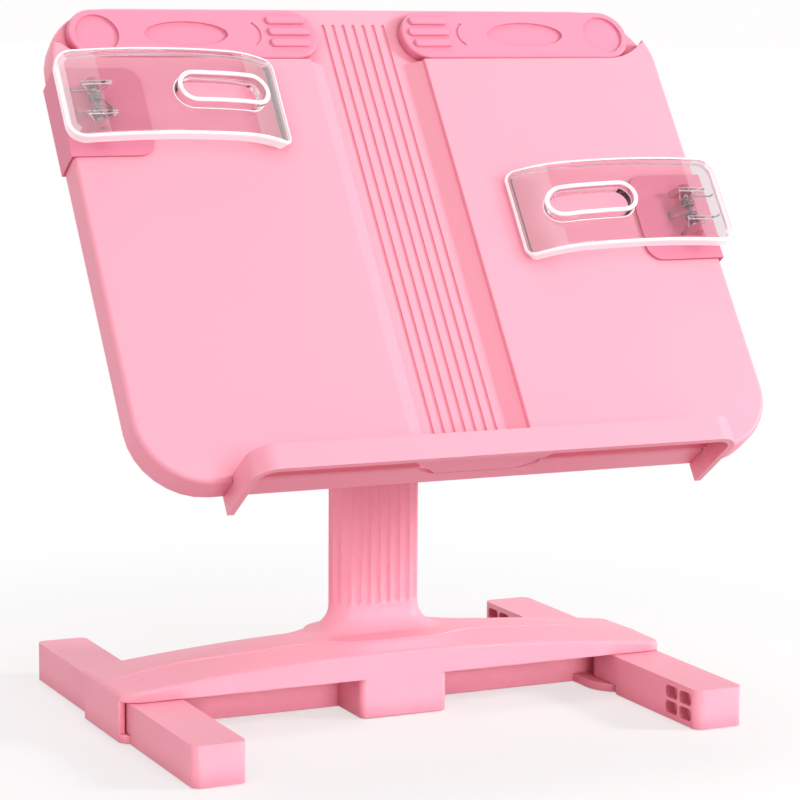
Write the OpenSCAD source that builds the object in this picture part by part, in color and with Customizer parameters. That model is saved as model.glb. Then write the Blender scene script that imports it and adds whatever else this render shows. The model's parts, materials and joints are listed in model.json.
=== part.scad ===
// Tilting desk book stand with a telescopic post, folding legs, sliding page clips and swing-out page arms

/* [Board] */
// Width of the board
board_w = 320; // [280:1:380]
// Height of the board along its slope
board_h = 253.6; // [240:0.2:300]
// Thickness of the board with its back cover
board_t = 15.4; // [14.4:0.1:20]
// Lean of the board back from upright, in degrees
board_lean = 35; // [20:1:60]
// Radius of the lower corners of the board
board_low_r = 33; // [15:1:38]
// Radius of the upper corners of the board
board_top_r = 36; // [28:1:40]
// Rounding of the long edges of the board
board_edge_r = 2.2; // [1:0.2:4]
// Wall thickness of the moulded board
board_wall = 2.4; // [1.6:0.1:2.8]
// Thickness of the back cover
cover_t = 3; // [2.5:0.1:3.4]
// Rounding of the edge of the back cover
cover_edge_r = 0.8; // [0.4:0.1:1.6]

/* [Channel] */
// Width of the channel at the panel faces
channel_w = 60; // [54:1:72]
// Width of the channel floor
channel_floor_w = 43.3; // [40:0.1:50]
// Depth of the channel and of the arm recess
channel_depth = 6.4; // [5.8:0.1:6.8]
// Number of grooves in the channel floor
groove_count = 7; // [3:1:7]
// Distance between grooves
groove_pitch = 5.35; // [4:0.05:5.5]
// Width of a groove
groove_w = 1.3; // [0.8:0.1:2]
// Depth of a groove
groove_depth = 0.8; // [0.4:0.1:1.2]
// Plain stretch of channel floor above the grooves
groove_top_gap = 9; // [4:0.5:20]

/* [Page arms] */
// Width of a page arm
arm_w = 28; // [22:0.5:28.5]
// Thickness of a page arm
arm_t = 5; // [4:0.1:5.2]
// Distance between the tips of the two closed arms
arm_tip_gap = 45.2; // [30:0.2:70]
// Distance of an arm pivot from the side of the board
arm_pivot_in = 25.4; // [22:0.1:30]
// Distance of the arms from the top edge of the board
arm_top_gap = 4; // [1:0.1:5]
// Gap between the arms and the lower side of their recess
arm_low_gap = 0.9; // [0.5:0.1:1.2]
// Radius of the shoulder that curves round the arm pivot
shoulder_r = 32; // [28:1:40]
// Diameter of the round dimple over the pivot
dimple_d = 21.5; // [14:0.5:22]
// Length of the oval dimple
oval_len = 42; // [30:1:50]
// Width of the oval dimple
oval_w = 14; // [8:0.5:16]
// Distance of the oval dimple from the arm pivot
oval_back = 44.4; // [40:0.2:50]
// Depth of the dimples
dimple_depth = 1.2; // [0.6:0.1:1.6]
// Length of the grip bars
bar_len = 22.4; // [14:0.2:24]
// Distance of the grip bars from the tip of the arm
bar_in = 3.4; // [2:0.1:6]
// Shortfall of the outer grip bars at the tip
bar_cut = 1.8; // [0:0.1:4]
// Width of a grip bar
bar_w = 4.4; // [3:0.1:5]
// Height of the grip bars above the arm
bar_rise = 1.4; // [0.6:0.1:2]
// Radius of the curved mark behind the grip bars
mark_r = 7.4; // [5:0.1:9]
// Diameter of the pivot boss under an arm
arm_boss_d = 10; // [8:0.5:12]

/* [Page clips] */
// Height of the left clip above the bottom of the board
left_clip_v = 166.8; // [90:0.2:167]
// Height of the right clip above the bottom of the board
right_clip_v = 102.4; // [60:0.2:167]
// Height of a clip carriage along the board
carriage_h = 47; // [44:1:50]
// Reach of a carriage over the face of the board
carriage_reach = 40; // [34:1:48]
// Wall of a carriage
carriage_t = 1; // [0.8:0.1:1.6]
// Reach of a carriage over the back of the board
carriage_lip = 9; // [6:0.5:12]
// Width of a clear clip
clip_w = 47.4; // [44:0.2:50]
// Offset of a clear clip up the board from the middle of its carriage
clip_lift = 2.3; // [0:0.1:2.5]
// Length of a clear clip
clip_len = 112.9; // [104:0.1:118]
// Overhang of a clip past the edge of the board
clip_overhang = 4.7; // [2:0.1:8]
// Plate thickness of a clip
clip_t = 2.6; // [2:0.1:3.2]
// Corner radius of the outer end of a clip
clip_r = 9; // [5:0.5:14]
// Corner radius of the inner end of a clip
clip_tip_r = 5; // [4.5:0.5:10]
// Wall of the skirt round a clip
skirt_wall = 2.2; // [1.6:0.1:3]
// Depth of the skirt of a clip below its top
skirt_depth = 5.6; // [4.4:0.1:6]
// Length of the finger hole in a clip
finger_len = 41.4; // [30:0.2:44]
// Width of the finger hole in a clip
finger_w = 12.6; // [10:0.2:18]
// Wall of the collar round the finger hole
finger_wall = 2.2; // [1.6:0.1:4]
// Distance of the middle of the finger hole from the tip of a clip
finger_in = 36; // [30:0.5:42]
// Offset of the finger hole down the board from the middle of a clip
finger_drop = 1.1; // [0:0.1:3]
// Height of the collar above the clip
collar_h = 5.6; // [2:0.2:7]
// Diameter of a clip hinge pin
clip_pin_d = 2.6; // [2:0.1:3]
// Height of a clip hinge pin above the face of the board
clip_pin_n = 6.8; // [6.4:0.1:7.2]

/* [Clip springs] */
// Diameter of the spring wire
wire_d = 0.8; // [0.5:0.05:0.8]
// Mean diameter of the spring coils
coil_d = 5.2; // [4.6:0.1:5.6]
// Curls in each of the two coils of a spring
coil_turns = 3; // [2:1:3]
// Distance between curls
coil_pitch = 1.3; // [1.25:0.05:1.35]

/* [Ledge] */
// Width of the ledge
ledge_w = 240.4; // [200:0.4:250]
// Reach of the ledge in front of the board
ledge_reach = 29.4; // [22:0.2:40]
// Height of the ledge skirt
ledge_h = 12; // [9:0.5:18]
// Wall of the ledge
ledge_t = 3.2; // [2.4:0.1:4]
// Rise of the ledge skirt above the bottom of the board
ledge_rise = 2.9; // [2:0.1:6]
// Corner radius of the ledge
ledge_r = 11; // [6:0.5:16]
// Open slot between the shelf and the board
ledge_slot = 2.4; // [1:0.1:4]

/* [Base] */
// Length of the beam
beam_l = 288.6; // [260:0.2:330]
// Depth of the beam
beam_d = 61.5; // [58:0.5:66]
// Height of the middle of the beam's long top edges
beam_edge_z = 32.5; // [31:0.1:36]
// Radius of the arch along the beam's top edges
beam_arch_r = 1177; // [1000:1:2000]
// Rise of the crown of the beam above its edges
beam_crown = 4.6; // [3:0.1:6]
// Half width of the raised crown
beam_crown_y = 11.5; // [9:0.5:14]
// Widening of the crown round the column
crown_bulge = 13.5; // [8:0.5:14]
// Corner radius of the beam ends
beam_end_r = 9.5; // [8:0.5:18]
// Width of the middle block
block_w = 46; // [37:0.5:50]
// Corner radius of the middle block
block_r = 4; // [2:0.5:8]
// Wall of the beam ends
skirt_t = 3.6; // [2.5:0.1:4.5]
// Length of the end walls
skirt_l = 50; // [40:1:56]
// Thickness of the lugs under the leg roots
lug_t = 4.2; // [3:0.1:5]
// Radius of the lugs about the leg pins
lug_r = 19.5; // [16:0.5:21]

/* [Legs] */
// Width of a leg
leg_w = 25.7; // [22:0.1:26]
// Height of a leg
leg_h = 19.2; // [16:0.1:22]
// Distance from a leg pin to the free end of the leg
leg_reach = 98; // [80:0.2:100]
// Distance of the leg pins from the middle of the beam's depth
leg_pin_y = 15; // [14.8:0.1:17]
// Corner radius of a leg's free end
leg_r = 4; // [2:0.5:9]
// Diameter of a leg pin
leg_pin_d = 6; // [4:0.5:8]
// Width of a window panel in the inner face of a leg
window_w = 24; // [16:1:28]
// Distance of a window panel from the free end of the leg
window_in = 5.2; // [4:0.2:10]
// Height of a window panel
window_h = 13.6; // [8:0.1:14]
// Width of the bars across a window
window_bar = 1.6; // [1:0.1:3]
// Depth of a window
window_depth = 5; // [2:0.5:8]
// Length of a foot pad
pad_l = 34; // [20:1:40]
// Width of a foot pad
pad_w = 14; // [8:0.5:16]
// Height of a pad below the plastic
pad_stand = 0.4; // [0.3:0.1:1.2]
// Depth of a pad in its seat
pad_seat = 1; // [0.6:0.1:1.6]

/* [Column] */
// Width of the column
column_w = 46.6; // [40:0.2:50]
// Depth of the column
column_d = 19; // [18:0.5:24]
// Height of the top of the column above the table
column_top = 168; // [150:1:176]
// Distance of the column behind the middle of the beam
column_y = 7.5; // [4:0.5:9]
// Radius of the flare at the foot of the column
flare_r = 12; // [6:0.5:12]
// Height of the seat of the column foot
seat_z = 33.5; // [31:0.1:34]
// Number of flutes round the column
flute_count = 22; // [12:2:22]
// Depth of a flute
flute_depth = 0.7; // [0.3:0.1:0.9]
// Height where the flutes begin
flute_z = 53; // [50:1:70]
// Wall of the column
column_wall = 3; // [2.6:0.1:3.4]

/* [Mast] */
// Length of the sliding mast
mast_l = 142; // [135:1:160]
// Height of the foot of the mast at rest
mast_z = 72; // [70:1:80]
// Wall of the mast
mast_wall = 2; // [1.6:0.1:2.4]
// Gap round the mast inside the column
mast_gap = 0.3; // [0.2:0.05:0.5]
// Depth of the guide bush in the column mouth
bush_depth = 10; // [6:0.5:14]
// Diameter of the height dial
height_dial_d = 30; // [24:1:36]
// Height of the height dial above the table
height_dial_z = 148; // [135:1:150]

/* [Tilt hinge] */
// Height of the tilt axis above the mast
tilt_rise = 21; // [18:0.5:26]
// Distance of the tilt axis behind the back of the board
tilt_back = 23.9; // [21:0.1:30]
// Distance of the tilt axis from the bottom of the board
tilt_v = 149.1; // [130:0.1:165]
// Radius of the tilt knuckle
knuckle_r = 12; // [10:0.5:14]
// Width of the tilt knuckle
knuckle_w = 30; // [24:1:36]
// Thickness of a friction washer
washer_t = 0.9; // [0.6:0.1:1.5]
// Thickness of a bracket lug
lug_w = 6; // [4:0.5:8]
// Diameter of the tilt bolt
bolt_d = 8; // [6:0.5:9]
// Diameter of the tilt dial
tilt_dial_d = 32; // [26:1:36]
// Thickness of the dials
dial_t = 13; // [10:0.5:16]

/* [Fits] */
// Gap between flat faces that slide past each other
slide_gap = 0.2; // [0.15:0.05:0.4]
// Gap between parts that swing past each other
swing_gap = 0.3; // [0.2:0.05:0.5]
// Radial clearance of a pin that turns in its hole
run_gap = 0.06; // [0.03:0.01:0.1]
// Radial clearance of a part fixed in its hole
seat_gap = 0.02; // [0.01:0.01:0.05]

/* [Hidden] */
$fn = 48;
eps = 0.1;
PINK = "pink";
DEEP_PINK = "lightpink";
STEEL = "silver";
RUBBER = "dimgray";

// Leg and base heights
leg_top = pad_stand + leg_h;
deck_z = leg_top + swing_gap;
lug_top = pad_stand + lug_t;
leg_pin_x = beam_l / 2 - skirt_t - slide_gap * 2 - leg_w / 2;
pin_head_r = leg_pin_d / 2 + 1.5;
pin_head_h = 1.2;
pin_grip = 4;
stud_d = 6;

// Column and mast sections: a straight middle with a round end on each side
column_r = column_d / 2;
column_c = column_w / 2 - column_r;
cavity_r = column_r - column_wall;
mast_r = cavity_r - mast_gap;
mast_top = mast_z + mast_l;
bush_r = cavity_r + 1.1;
bush_flange_t = 1.6;
foot_r = column_r + flare_r;
foot_top = seat_z + 3.7;
cavity_z = foot_top + 3;
dial_face_y = column_y + column_r + 7 + swing_gap;

// Tilt axis and the place of the board on it
tilt_z = mast_top + tilt_rise;
tilt_n = -(board_t + tilt_back);
board_y = column_y - tilt_v * sin(board_lean) + tilt_n * cos(board_lean);
board_z = tilt_z - tilt_v * cos(board_lean) - tilt_n * sin(board_lean);
lug_in = knuckle_w / 2 + washer_t + swing_gap / 3;
lug_out = lug_in + lug_w;
bracket_t = 3.2;
bracket_w = 2 * lug_out + 22;
bracket_h = 48;
bracket_screw_u = bracket_w / 2 - 5.5;
bracket_screw_v = 17;
panel_back = -(board_t - cover_t);
floor_back = -(channel_depth + board_wall);

// Page arms
arm_r = arm_w / 2;
arm_pivot_u = board_w / 2 - arm_pivot_in;
arm_v = board_h - arm_top_gap - arm_r;
arm_low_n = -channel_depth + slide_gap;
arm_top_n = arm_low_n + arm_t;
recess_v = arm_v - arm_r - arm_low_gap;
shoulder_u = arm_pivot_u - 2.6;

// Page clips
clip_end_u = board_w / 2 + clip_overhang;
clip_pin_u = board_w / 2 - 14;
plate_n = slide_gap + carriage_t;
ear_in = 7;
ear_t = 2;
ear_back = 7;
ear_out = 8;
ear_root = 1;
boss_in = ear_in + ear_t + 1;
boss_t = 3;
boss_r = clip_pin_d / 2 + 1.9;
boss_foot = 5.6;
arch_back = 45.7;
arch_u = clip_end_u - arch_back;
arch_rise = 10;
arch_n = clip_pin_n + arch_rise;
arch_r = 330;
hook_r = 64;
hook_back = 38;
hook_u = arch_u - hook_back;
plate_top = 0.4;
tip_gap = 0.4;

// Screws shared by the assembly
screw_d = 3;
screw_head_d = 6;
screw_head_h = 1.8;
screw_end_gap = 2;
column_screw_low = 8;
cover_screw_in = 20;
cover_screw_mid = 72;
cover_screw_at = [for (s = [-1, 1]) each [
    [s * (board_w / 2 - cover_screw_in), board_low_r + 10],
    [s * (board_w / 2 - cover_screw_in), recess_v - 22],
    [s * cover_screw_mid, 14],
    [s * cover_screw_mid, recess_v - 16]
]];
bracket_screw_at = [for (s = [-1, 1], t = [-1, 1]) [s * bracket_screw_u, tilt_v + t * bracket_screw_v]];
ledge_screw_at = [for (s = [-1, 1]) [s * 2 * groove_pitch, 11]];

function unit(v) = v / norm(v);
function arc(c, r, a0, a1, steps = 8) =
    [for (i = [0 : steps]) let (a = a0 + (a1 - a0) * i / steps) c + r * [cos(a), sin(a)]];

// Puts its children in the frame of the board: x across, y up the slope, z out of its face
module on_board() {
    translate([0, board_y, board_z]) rotate([90 - board_lean, 0, 0]) children();
}

// Puts a shape drawn for the right side on the side given by s
module on_side(s) {
    mirror([s < 0 ? 1 : 0, 0, 0]) children();
}

// A flat shape with round ends of radius r at x = -c and x = c
module oval(c, r) {
    square([2 * c, 2 * r], center = true);
    for (s = [-1, 1]) translate([s * c, 0]) circle(r);
}

// A rectangle with round corners, centred
module round_box(w, d, r) {
    polygon(concat(
        arc([w / 2 - r, d / 2 - r], r, 0, 90),
        arc([-w / 2 + r, d / 2 - r], r, 90, 180),
        arc([-w / 2 + r, -d / 2 + r], r, 180, 270),
        arc([w / 2 - r, -d / 2 + r], r, 270, 360)));
}

// Outline of the board, drawn in by inset
module board_outline(inset = 0) {
    half = board_w / 2 - inset;
    top = board_h - inset;
    low_r = board_low_r - inset;
    top_r = board_top_r - inset;
    polygon(concat(
        arc([half - top_r, top - top_r], top_r, 0, 90),
        arc([-half + top_r, top - top_r], top_r, 90, 180),
        arc([-half + low_r, inset + low_r], low_r, 180, 270),
        arc([half - low_r, inset + low_r], low_r, 270, 360)));
}

// A slab of the board's outline with one rounded edge, from the flat side at z = 0 to height t
module rounded_slab(t, r) {
    hull() {
        linear_extrude(t - r) board_outline();
        for (a = [30, 60, 90])
            translate([0, 0, t - r]) linear_extrude(r * sin(a)) board_outline(r * (1 - cos(a)));
    }
}

// A pan head screw along -z with its head seated on z = 0
module pan_screw(length, d = screw_d) {
    cylinder(h = screw_head_h, d = screw_head_d);
    translate([0, 0, -length]) cylinder(h = length + eps, d = d);
}

// A round dial along +z with finger scallops
module dial(d, bore_d, bore_depth) {
    scallop_r = d / 9;
    difference() {
        union() {
            cylinder(h = dial_t, d = d);
            translate([0, 0, dial_t - eps]) cylinder(h = 1.2 + eps, d = d * 0.62);
        }
        for (i = [0 : 9]) rotate(36 * i) translate([d / 2 + scallop_r * 0.55, 0, -1])
            cylinder(h = dial_t + 3, r = scallop_r);
        translate([0, 0, -1]) cylinder(h = bore_depth + 1, d = bore_d + 2 * seat_gap);
    }
}

// Height of the long top edges and of the crown of the beam at x
function edge_z(x) = beam_edge_z - x * x / (2 * beam_arch_r);
function crown_rise(x) = 0.5 + beam_crown * (1 - pow(2 * x / beam_l, 2));
function crown_y(x) =
    max(2.5, beam_crown_y * (1 - pow(x / 110, 4)) + crown_bulge * exp(-pow(x / 34, 4)));
function beam_half_d(x) =
    let (over = abs(x) - (beam_l / 2 - beam_end_r))
    over <= 0 ? beam_d / 2 : beam_d / 2 - beam_end_r + sqrt(max(0, pow(beam_end_r, 2) - over * over));

// Stations along the beam: even along the middle and closer round the ends
beam_stations = concat(
    [for (a = [0 : 15 : 75]) -(beam_l / 2 - beam_end_r + beam_end_r * cos(a))],
    [for (i = [0 : 28]) (beam_l / 2 - beam_end_r) * (i / 14 - 1)],
    [for (a = [75 : -15 : 0]) beam_l / 2 - beam_end_r + beam_end_r * cos(a)]);

// One half section of the beam at x, from the bottom edge up to the crown
function beam_half_section(x) =
    let (half = beam_half_d(x), crown = min(crown_y(x), half - 5), ze = edge_z(x), zc = ze + crown_rise(x))
    [[half, deck_z], [half, ze - 1.2], [half - 1.4, ze],
     [crown + 0.5, zc - 0.18 * (zc - ze)], [crown - 0.8, zc]];
function beam_section(x) =
    let (h = beam_half_section(x))
    concat([for (p = h) [x, -p[0], p[1]]], [for (i = [len(h) - 1 : -1 : 0]) [x, h[i][0], h[i][1]]]);

// The arched deck of the beam
module beam_deck() {
    rings = [for (x = beam_stations) beam_section(x)];
    count = len(rings[0]);
    last = len(rings) - 1;
    points = [for (ring = rings) each ring];
    sides = [for (i = [0 : last - 1], j = [0 : count - 1], t = [0, 1])
        let (k = (j + 1) % count, a = i * count, b = a + count)
        t == 0 ? [a + j, b + k, b + j] : [a + j, a + k, b + k]];
    start = [for (j = [1 : count - 2]) [0, j + 1, j]];
    end = [for (j = [1 : count - 2]) [last * count, last * count + j, last * count + j + 1]];
    polyhedron(points = points, faces = concat(sides, start, end), convexity = 4);
}

// Wall and lugs of one end of the beam, for the right side
module beam_end() {
    translate([beam_l / 2 - skirt_t - eps, -skirt_l / 2, pad_stand])
        cube([skirt_t, skirt_l, deck_z - pad_stand + 1]);
    intersection() {
        translate([leg_pin_x, 0, pad_stand]) linear_extrude(lug_t)
            rotate(90) oval(leg_pin_y, lug_r);
        translate([0, -beam_d, 0]) cube([beam_l / 2 - eps / 2, 2 * beam_d, deck_z]);
    }
}

module base_beam() color(PINK) {
    web_t = 2 * (leg_pin_y - leg_w / 2 - swing_gap);
    difference() {
        union() {
            beam_deck();
            translate([-beam_l / 2 + skirt_t / 2, -web_t / 2, pad_stand])
                cube([beam_l - skirt_t, web_t, deck_z - pad_stand + 1]);
            translate([0, 0, pad_stand]) linear_extrude(deck_z - pad_stand + 1)
                round_box(block_w, beam_d - 2 * eps, block_r);
            for (s = [-1, 1]) on_side(s) beam_end();
        }
        translate([0, column_y, seat_z]) linear_extrude(40) oval(column_c, foot_r + seat_gap);
        for (s = [-1, 1]) {
            translate([s * column_c, column_y, 0]) {
                cylinder(h = 60, d = screw_d + 1 + 2 * seat_gap);
                cylinder(h = deck_z - column_screw_low, d = screw_head_d + 2);
            }
            for (t = [-1, 1]) translate([s * leg_pin_x, t * leg_pin_y, 0]) {
                cylinder(h = deck_z + pin_grip + slide_gap, d = leg_pin_d + 2 * seat_gap);
                cylinder(h = pad_stand + pin_head_h + slide_gap, r = pin_head_r + slide_gap);
            }
        }
        translate([0, 0, -1]) linear_extrude(1 + pad_stand + pad_seat) round_box(pad_w, 3 * pad_w, 3);
    }
}

module centre_pad() color(RUBBER)
    linear_extrude(pad_stand + pad_seat) round_box(pad_w - 2 * slide_gap, 3 * pad_w - 2 * slide_gap, 3);

module leg_pins() color(STEEL)
    for (s = [-1, 1], t = [-1, 1]) translate([s * leg_pin_x, t * leg_pin_y, pad_stand + slide_gap]) {
        cylinder(h = deck_z + pin_grip - pad_stand - slide_gap, d = leg_pin_d);
        cylinder(h = pin_head_h, r = pin_head_r);
    }

// Places a leg drawn for the front right corner
module at_leg(s, t) {
    mirror([s < 0 ? 1 : 0, 0, 0]) mirror([0, t > 0 ? 1 : 0, 0])
        translate([leg_pin_x, -leg_pin_y, 0]) children();
}

module leg(s, t) color(PINK) at_leg(s, t) {
    half = leg_w / 2;
    pane_w = (window_w - window_bar) / 2;
    pane_h = (window_h - window_bar) / 2;
    difference() {
        translate([0, 0, pad_stand]) linear_extrude(leg_h) {
            circle(half);
            polygon(concat([[half, 0], [-half, 0]],
                arc([-half + leg_r, -leg_reach + leg_r], leg_r, 180, 270),
                arc([half - leg_r, -leg_reach + leg_r], leg_r, 270, 360)));
        }
        translate([0, 0, -1]) cylinder(h = lug_top + swing_gap + 1, r = lug_r + 2 * slide_gap);
        translate([-half - 1, -lug_r - 2 * slide_gap, -1])
            cube([half + 1, lug_r + 2 * slide_gap, lug_top + swing_gap + 1]);
        cylinder(h = leg_top + 1, d = leg_pin_d + 2 * run_gap);
        for (i = [-1, 1], j = [-1, 1])
            translate([-half, -leg_reach + window_in + window_w / 2 + i * (pane_w + window_bar) / 2,
                pad_stand + leg_h / 2 + j * (pane_h + window_bar) / 2])
                rotate([90, 0, 90]) translate([0, 0, -1]) linear_extrude(window_depth + 1)
                    round_box(pane_w, pane_h, 2);
        leg_pad_place() translate([0, 0, -1]) linear_extrude(1 + pad_stand + pad_seat)
            round_box(pad_w, pad_l, 4);
    }
}

module leg_pad_place() {
    translate([0, -leg_reach + pad_l / 2 + 8, 0]) children();
}

module leg_pad(s, t) color(RUBBER) at_leg(s, t) leg_pad_place()
    linear_extrude(pad_stand + pad_seat) round_box(pad_w - 2 * slide_gap, pad_l - 2 * slide_gap, 4);

// Foot of the column: a flat base and a concave flare up to the column
module column_foot_profile() {
    square([column_r, column_top - seat_z]);
    difference() {
        square([foot_r, foot_top - seat_z + flare_r]);
        translate([foot_r, foot_top - seat_z + flare_r]) circle(flare_r);
    }
}

// Point and outward direction at distance along the outline of an oval, from its front middle
function oval_at(along, c, r) =
    let (flat = 2 * c, bend = PI * r, lap = along % (2 * (flat + bend)))
    lap < c ? [[lap, -r], -90]
    : lap < c + bend ? let (a = -90 + (lap - c) / r * 180 / PI) [[c, 0] + r * [cos(a), sin(a)], a]
    : lap < c + bend + flat ? [[2 * c + bend - lap, r], 90]
    : lap < c + 2 * bend + flat
        ? let (a = 90 + (lap - c - bend - flat) / r * 180 / PI) [[-c, 0] + r * [cos(a), sin(a)], a]
    : [[lap - 2 * (flat + bend), -r], -90];

module column() color(PINK) {
    lap = 4 * column_c + 2 * PI * column_r;
    flute_r = lap / flute_count * 0.62;
    difference() {
        translate([0, column_y, seat_z]) {
            for (s = [-1, 1]) translate([s * column_c, 0, 0]) rotate_extrude($fn = 96) column_foot_profile();
            rotate([90, 0, 90]) translate([0, 0, -column_c]) linear_extrude(2 * column_c)
                for (s = [0, 1]) mirror([s, 0]) column_foot_profile();
            translate([0, column_r - 1, height_dial_z - seat_z]) rotate([-90, 0, 0]) cylinder(h = 8, r = 8.5);
        }
        translate([0, column_y, cavity_z]) linear_extrude(column_top) oval(column_c, cavity_r);
        translate([0, column_y, column_top - bush_depth]) linear_extrude(column_top)
            oval(column_c, bush_r + seat_gap);
        for (i = [0 : flute_count - 1])
            let (at = oval_at((i + 0.5) * lap / flute_count, column_c, column_r + flute_r - flute_depth))
            translate([at[0][0], column_y + at[0][1], flute_z])
                cylinder(h = column_top - bush_depth - flute_z - (at[0][1] > 0 ? 26 : 4), r = flute_r);
        translate([0, column_y, height_dial_z]) rotate([-90, 0, 0])
            cylinder(h = 40, d = stud_d + 2 * run_gap);
        for (s = [-1, 1]) translate([s * column_c, column_y, seat_z - 1])
            cylinder(h = cavity_z - seat_z, d = screw_d + 1 + 2 * seat_gap);
    }
}

module column_screws() color(STEEL)
    for (s = [-1, 1]) translate([s * column_c, column_y, deck_z - column_screw_low]) {
        cylinder(h = cavity_z - deck_z + column_screw_low - 1, d = screw_d + 1);
        translate([0, 0, -screw_head_h]) cylinder(h = screw_head_h, d = screw_head_d + 1);
    }

module column_bush() color(DEEP_PINK) translate([0, column_y, column_top - bush_depth]) difference() {
    union() {
        linear_extrude(bush_depth + eps) oval(column_c, bush_r);
        translate([0, 0, bush_depth]) linear_extrude(bush_flange_t) oval(column_c, column_r);
    }
    translate([0, 0, -1]) linear_extrude(bush_depth + 5) oval(column_c, mast_r + run_gap);
}

// Clamp dial at the back of the column
module height_dial() color(DEEP_PINK)
    translate([0, dial_face_y, height_dial_z]) rotate([-90, 0, 0]) dial(height_dial_d, stud_d, dial_t - 3);

module height_stud() color(STEEL) {
    tip_y = column_y + mast_r + swing_gap;
    translate([0, tip_y, height_dial_z]) rotate([-90, 0, 0])
        cylinder(h = dial_face_y + dial_t - 3.2 - tip_y, d = stud_d);
}

module mast() color(STEEL) translate([0, column_y, mast_z]) difference() {
    linear_extrude(mast_l) oval(column_c, mast_r);
    translate([0, 0, -1]) linear_extrude(mast_l + 2) oval(column_c, mast_r - mast_wall);
    for (s = [-1, 1]) translate([s * column_c / 2, 0, mast_l - 9]) rotate([-90, 0, 0])
        cylinder(h = 30, d = screw_d + 2 * seat_gap);
}

// Knuckle on the mast that the board tilts about
module tilt_head() color(DEEP_PINK) translate([0, column_y, 0]) {
    plug_r = mast_r - mast_wall - seat_gap;
    difference() {
        union() {
            translate([0, 0, mast_top - 18]) linear_extrude(18 + eps) oval(column_c, plug_r);
            translate([0, 0, mast_top]) linear_extrude(3) oval(column_c, mast_r);
            translate([-knuckle_w / 2, -mast_r, mast_top + 1]) cube([knuckle_w, 2 * mast_r, tilt_rise - 1]);
            translate([-knuckle_w / 2, 0, tilt_z]) rotate([0, 90, 0]) cylinder(h = knuckle_w, r = knuckle_r);
        }
        translate([-knuckle_w, 0, tilt_z]) rotate([0, 90, 0])
            cylinder(h = 2 * knuckle_w, d = bolt_d + 2 * run_gap);
        for (s = [-1, 1]) translate([s * column_c / 2, -1, mast_top - 9]) rotate([-90, 0, 0])
            cylinder(h = 30, d = screw_d + 2 * seat_gap);
    }
}

module head_screws() color(STEEL)
    for (s = [-1, 1]) translate([s * column_c / 2, column_y + mast_r, mast_top - 9]) rotate([-90, 0, 0])
        pan_screw(mast_r + 0.5);

module friction_washers() color(STEEL)
    for (s = [-1, 1]) on_side(s) translate([knuckle_w / 2, column_y, tilt_z]) rotate([0, 90, 0])
        difference() {
        cylinder(h = washer_t, r = knuckle_r - 1);
        translate([0, 0, -1]) cylinder(h = washer_t + 2, d = bolt_d + 4 * run_gap);
    }

// Region of the arm recess, in the plane of the board
module recess_outline() {
    translate([-shoulder_u, recess_v]) square([2 * shoulder_u, board_h]);
    for (s = [-1, 1]) translate([s * shoulder_u, recess_v + shoulder_r]) circle(shoulder_r, $fn = 96);
}

// Space behind one panel face, for the right side
module panel_pocket() {
    translate([0, 0, floor_back - eps]) linear_extrude(-board_wall - floor_back + eps) intersection() {
        board_outline(board_wall);
        translate([channel_w / 2 + board_wall, 0]) square([board_w, recess_v - board_wall]);
    }
}

module board_panel() color(PINK) on_board() difference() {
    union() {
        difference() {
            translate([0, 0, panel_back]) rounded_slab(-panel_back, board_edge_r);
            translate([0, 0, panel_back - 1]) linear_extrude(floor_back - panel_back + 1)
                board_outline(board_wall);
            for (s = [-1, 1]) on_side(s) panel_pocket();
        }
        for (at = cover_screw_at) translate([at[0], at[1], panel_back])
            cylinder(h = -panel_back - board_wall / 2, r = 3.6);
        for (at = concat(bracket_screw_at, ledge_screw_at)) translate([at[0], at[1], panel_back])
            cylinder(h = floor_back - panel_back + board_wall / 2, r = 3.6);
    }
    translate([0, board_h + 1, 0]) rotate([90, 0, 0]) linear_extrude(board_h + 2) polygon([
        [-channel_w / 2, 2], [-channel_w / 2, 0], [-channel_floor_w / 2, -channel_depth],
        [channel_floor_w / 2, -channel_depth], [channel_w / 2, 0], [channel_w / 2, 2]]);
    for (i = [0 : groove_count - 1])
        let (groove_u = (i - (groove_count - 1) / 2) * groove_pitch)
        translate([groove_u - groove_w / 2, 4, -channel_depth - groove_depth])
            cube([groove_w, board_h - 4 - groove_top_gap, 2]);
    translate([0, 0, -channel_depth]) linear_extrude(20) recess_outline();
    for (s = [-1, 1]) translate([s * arm_pivot_u, arm_v, -board_t])
        cylinder(h = board_t, d = arm_boss_d + 2 * run_gap);
    for (at = concat(cover_screw_at, bracket_screw_at, ledge_screw_at)) translate([at[0], at[1], -board_t])
        cylinder(h = board_t - board_wall - 1.2, d = screw_d + 2 * seat_gap);
    for (at = ledge_screw_at) translate([at[0], at[1], -board_t])
        cylinder(h = board_t, d = screw_d + 2 * seat_gap);
}

module back_cover() color(PINK) on_board() difference() {
    mirror([0, 0, 1]) translate([0, 0, -panel_back]) rounded_slab(cover_t, cover_edge_r);
    for (at = cover_screw_at) translate([at[0], at[1], -board_t - 1]) {
        cylinder(h = 1 + screw_head_h, d = screw_head_d + 2 * slide_gap);
        cylinder(h = 20, d = screw_d + 2 * slide_gap);
    }
    for (at = bracket_screw_at) translate([at[0], at[1], -board_t - 1])
        cylinder(h = 20, d = screw_d + 2 * slide_gap);
}

module cover_screws() color(STEEL) on_board()
    for (at = cover_screw_at) translate([at[0], at[1], -board_t + screw_head_h])
        mirror([0, 0, 1]) pan_screw(board_t - board_wall - screw_head_h - screw_end_gap);

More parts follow.
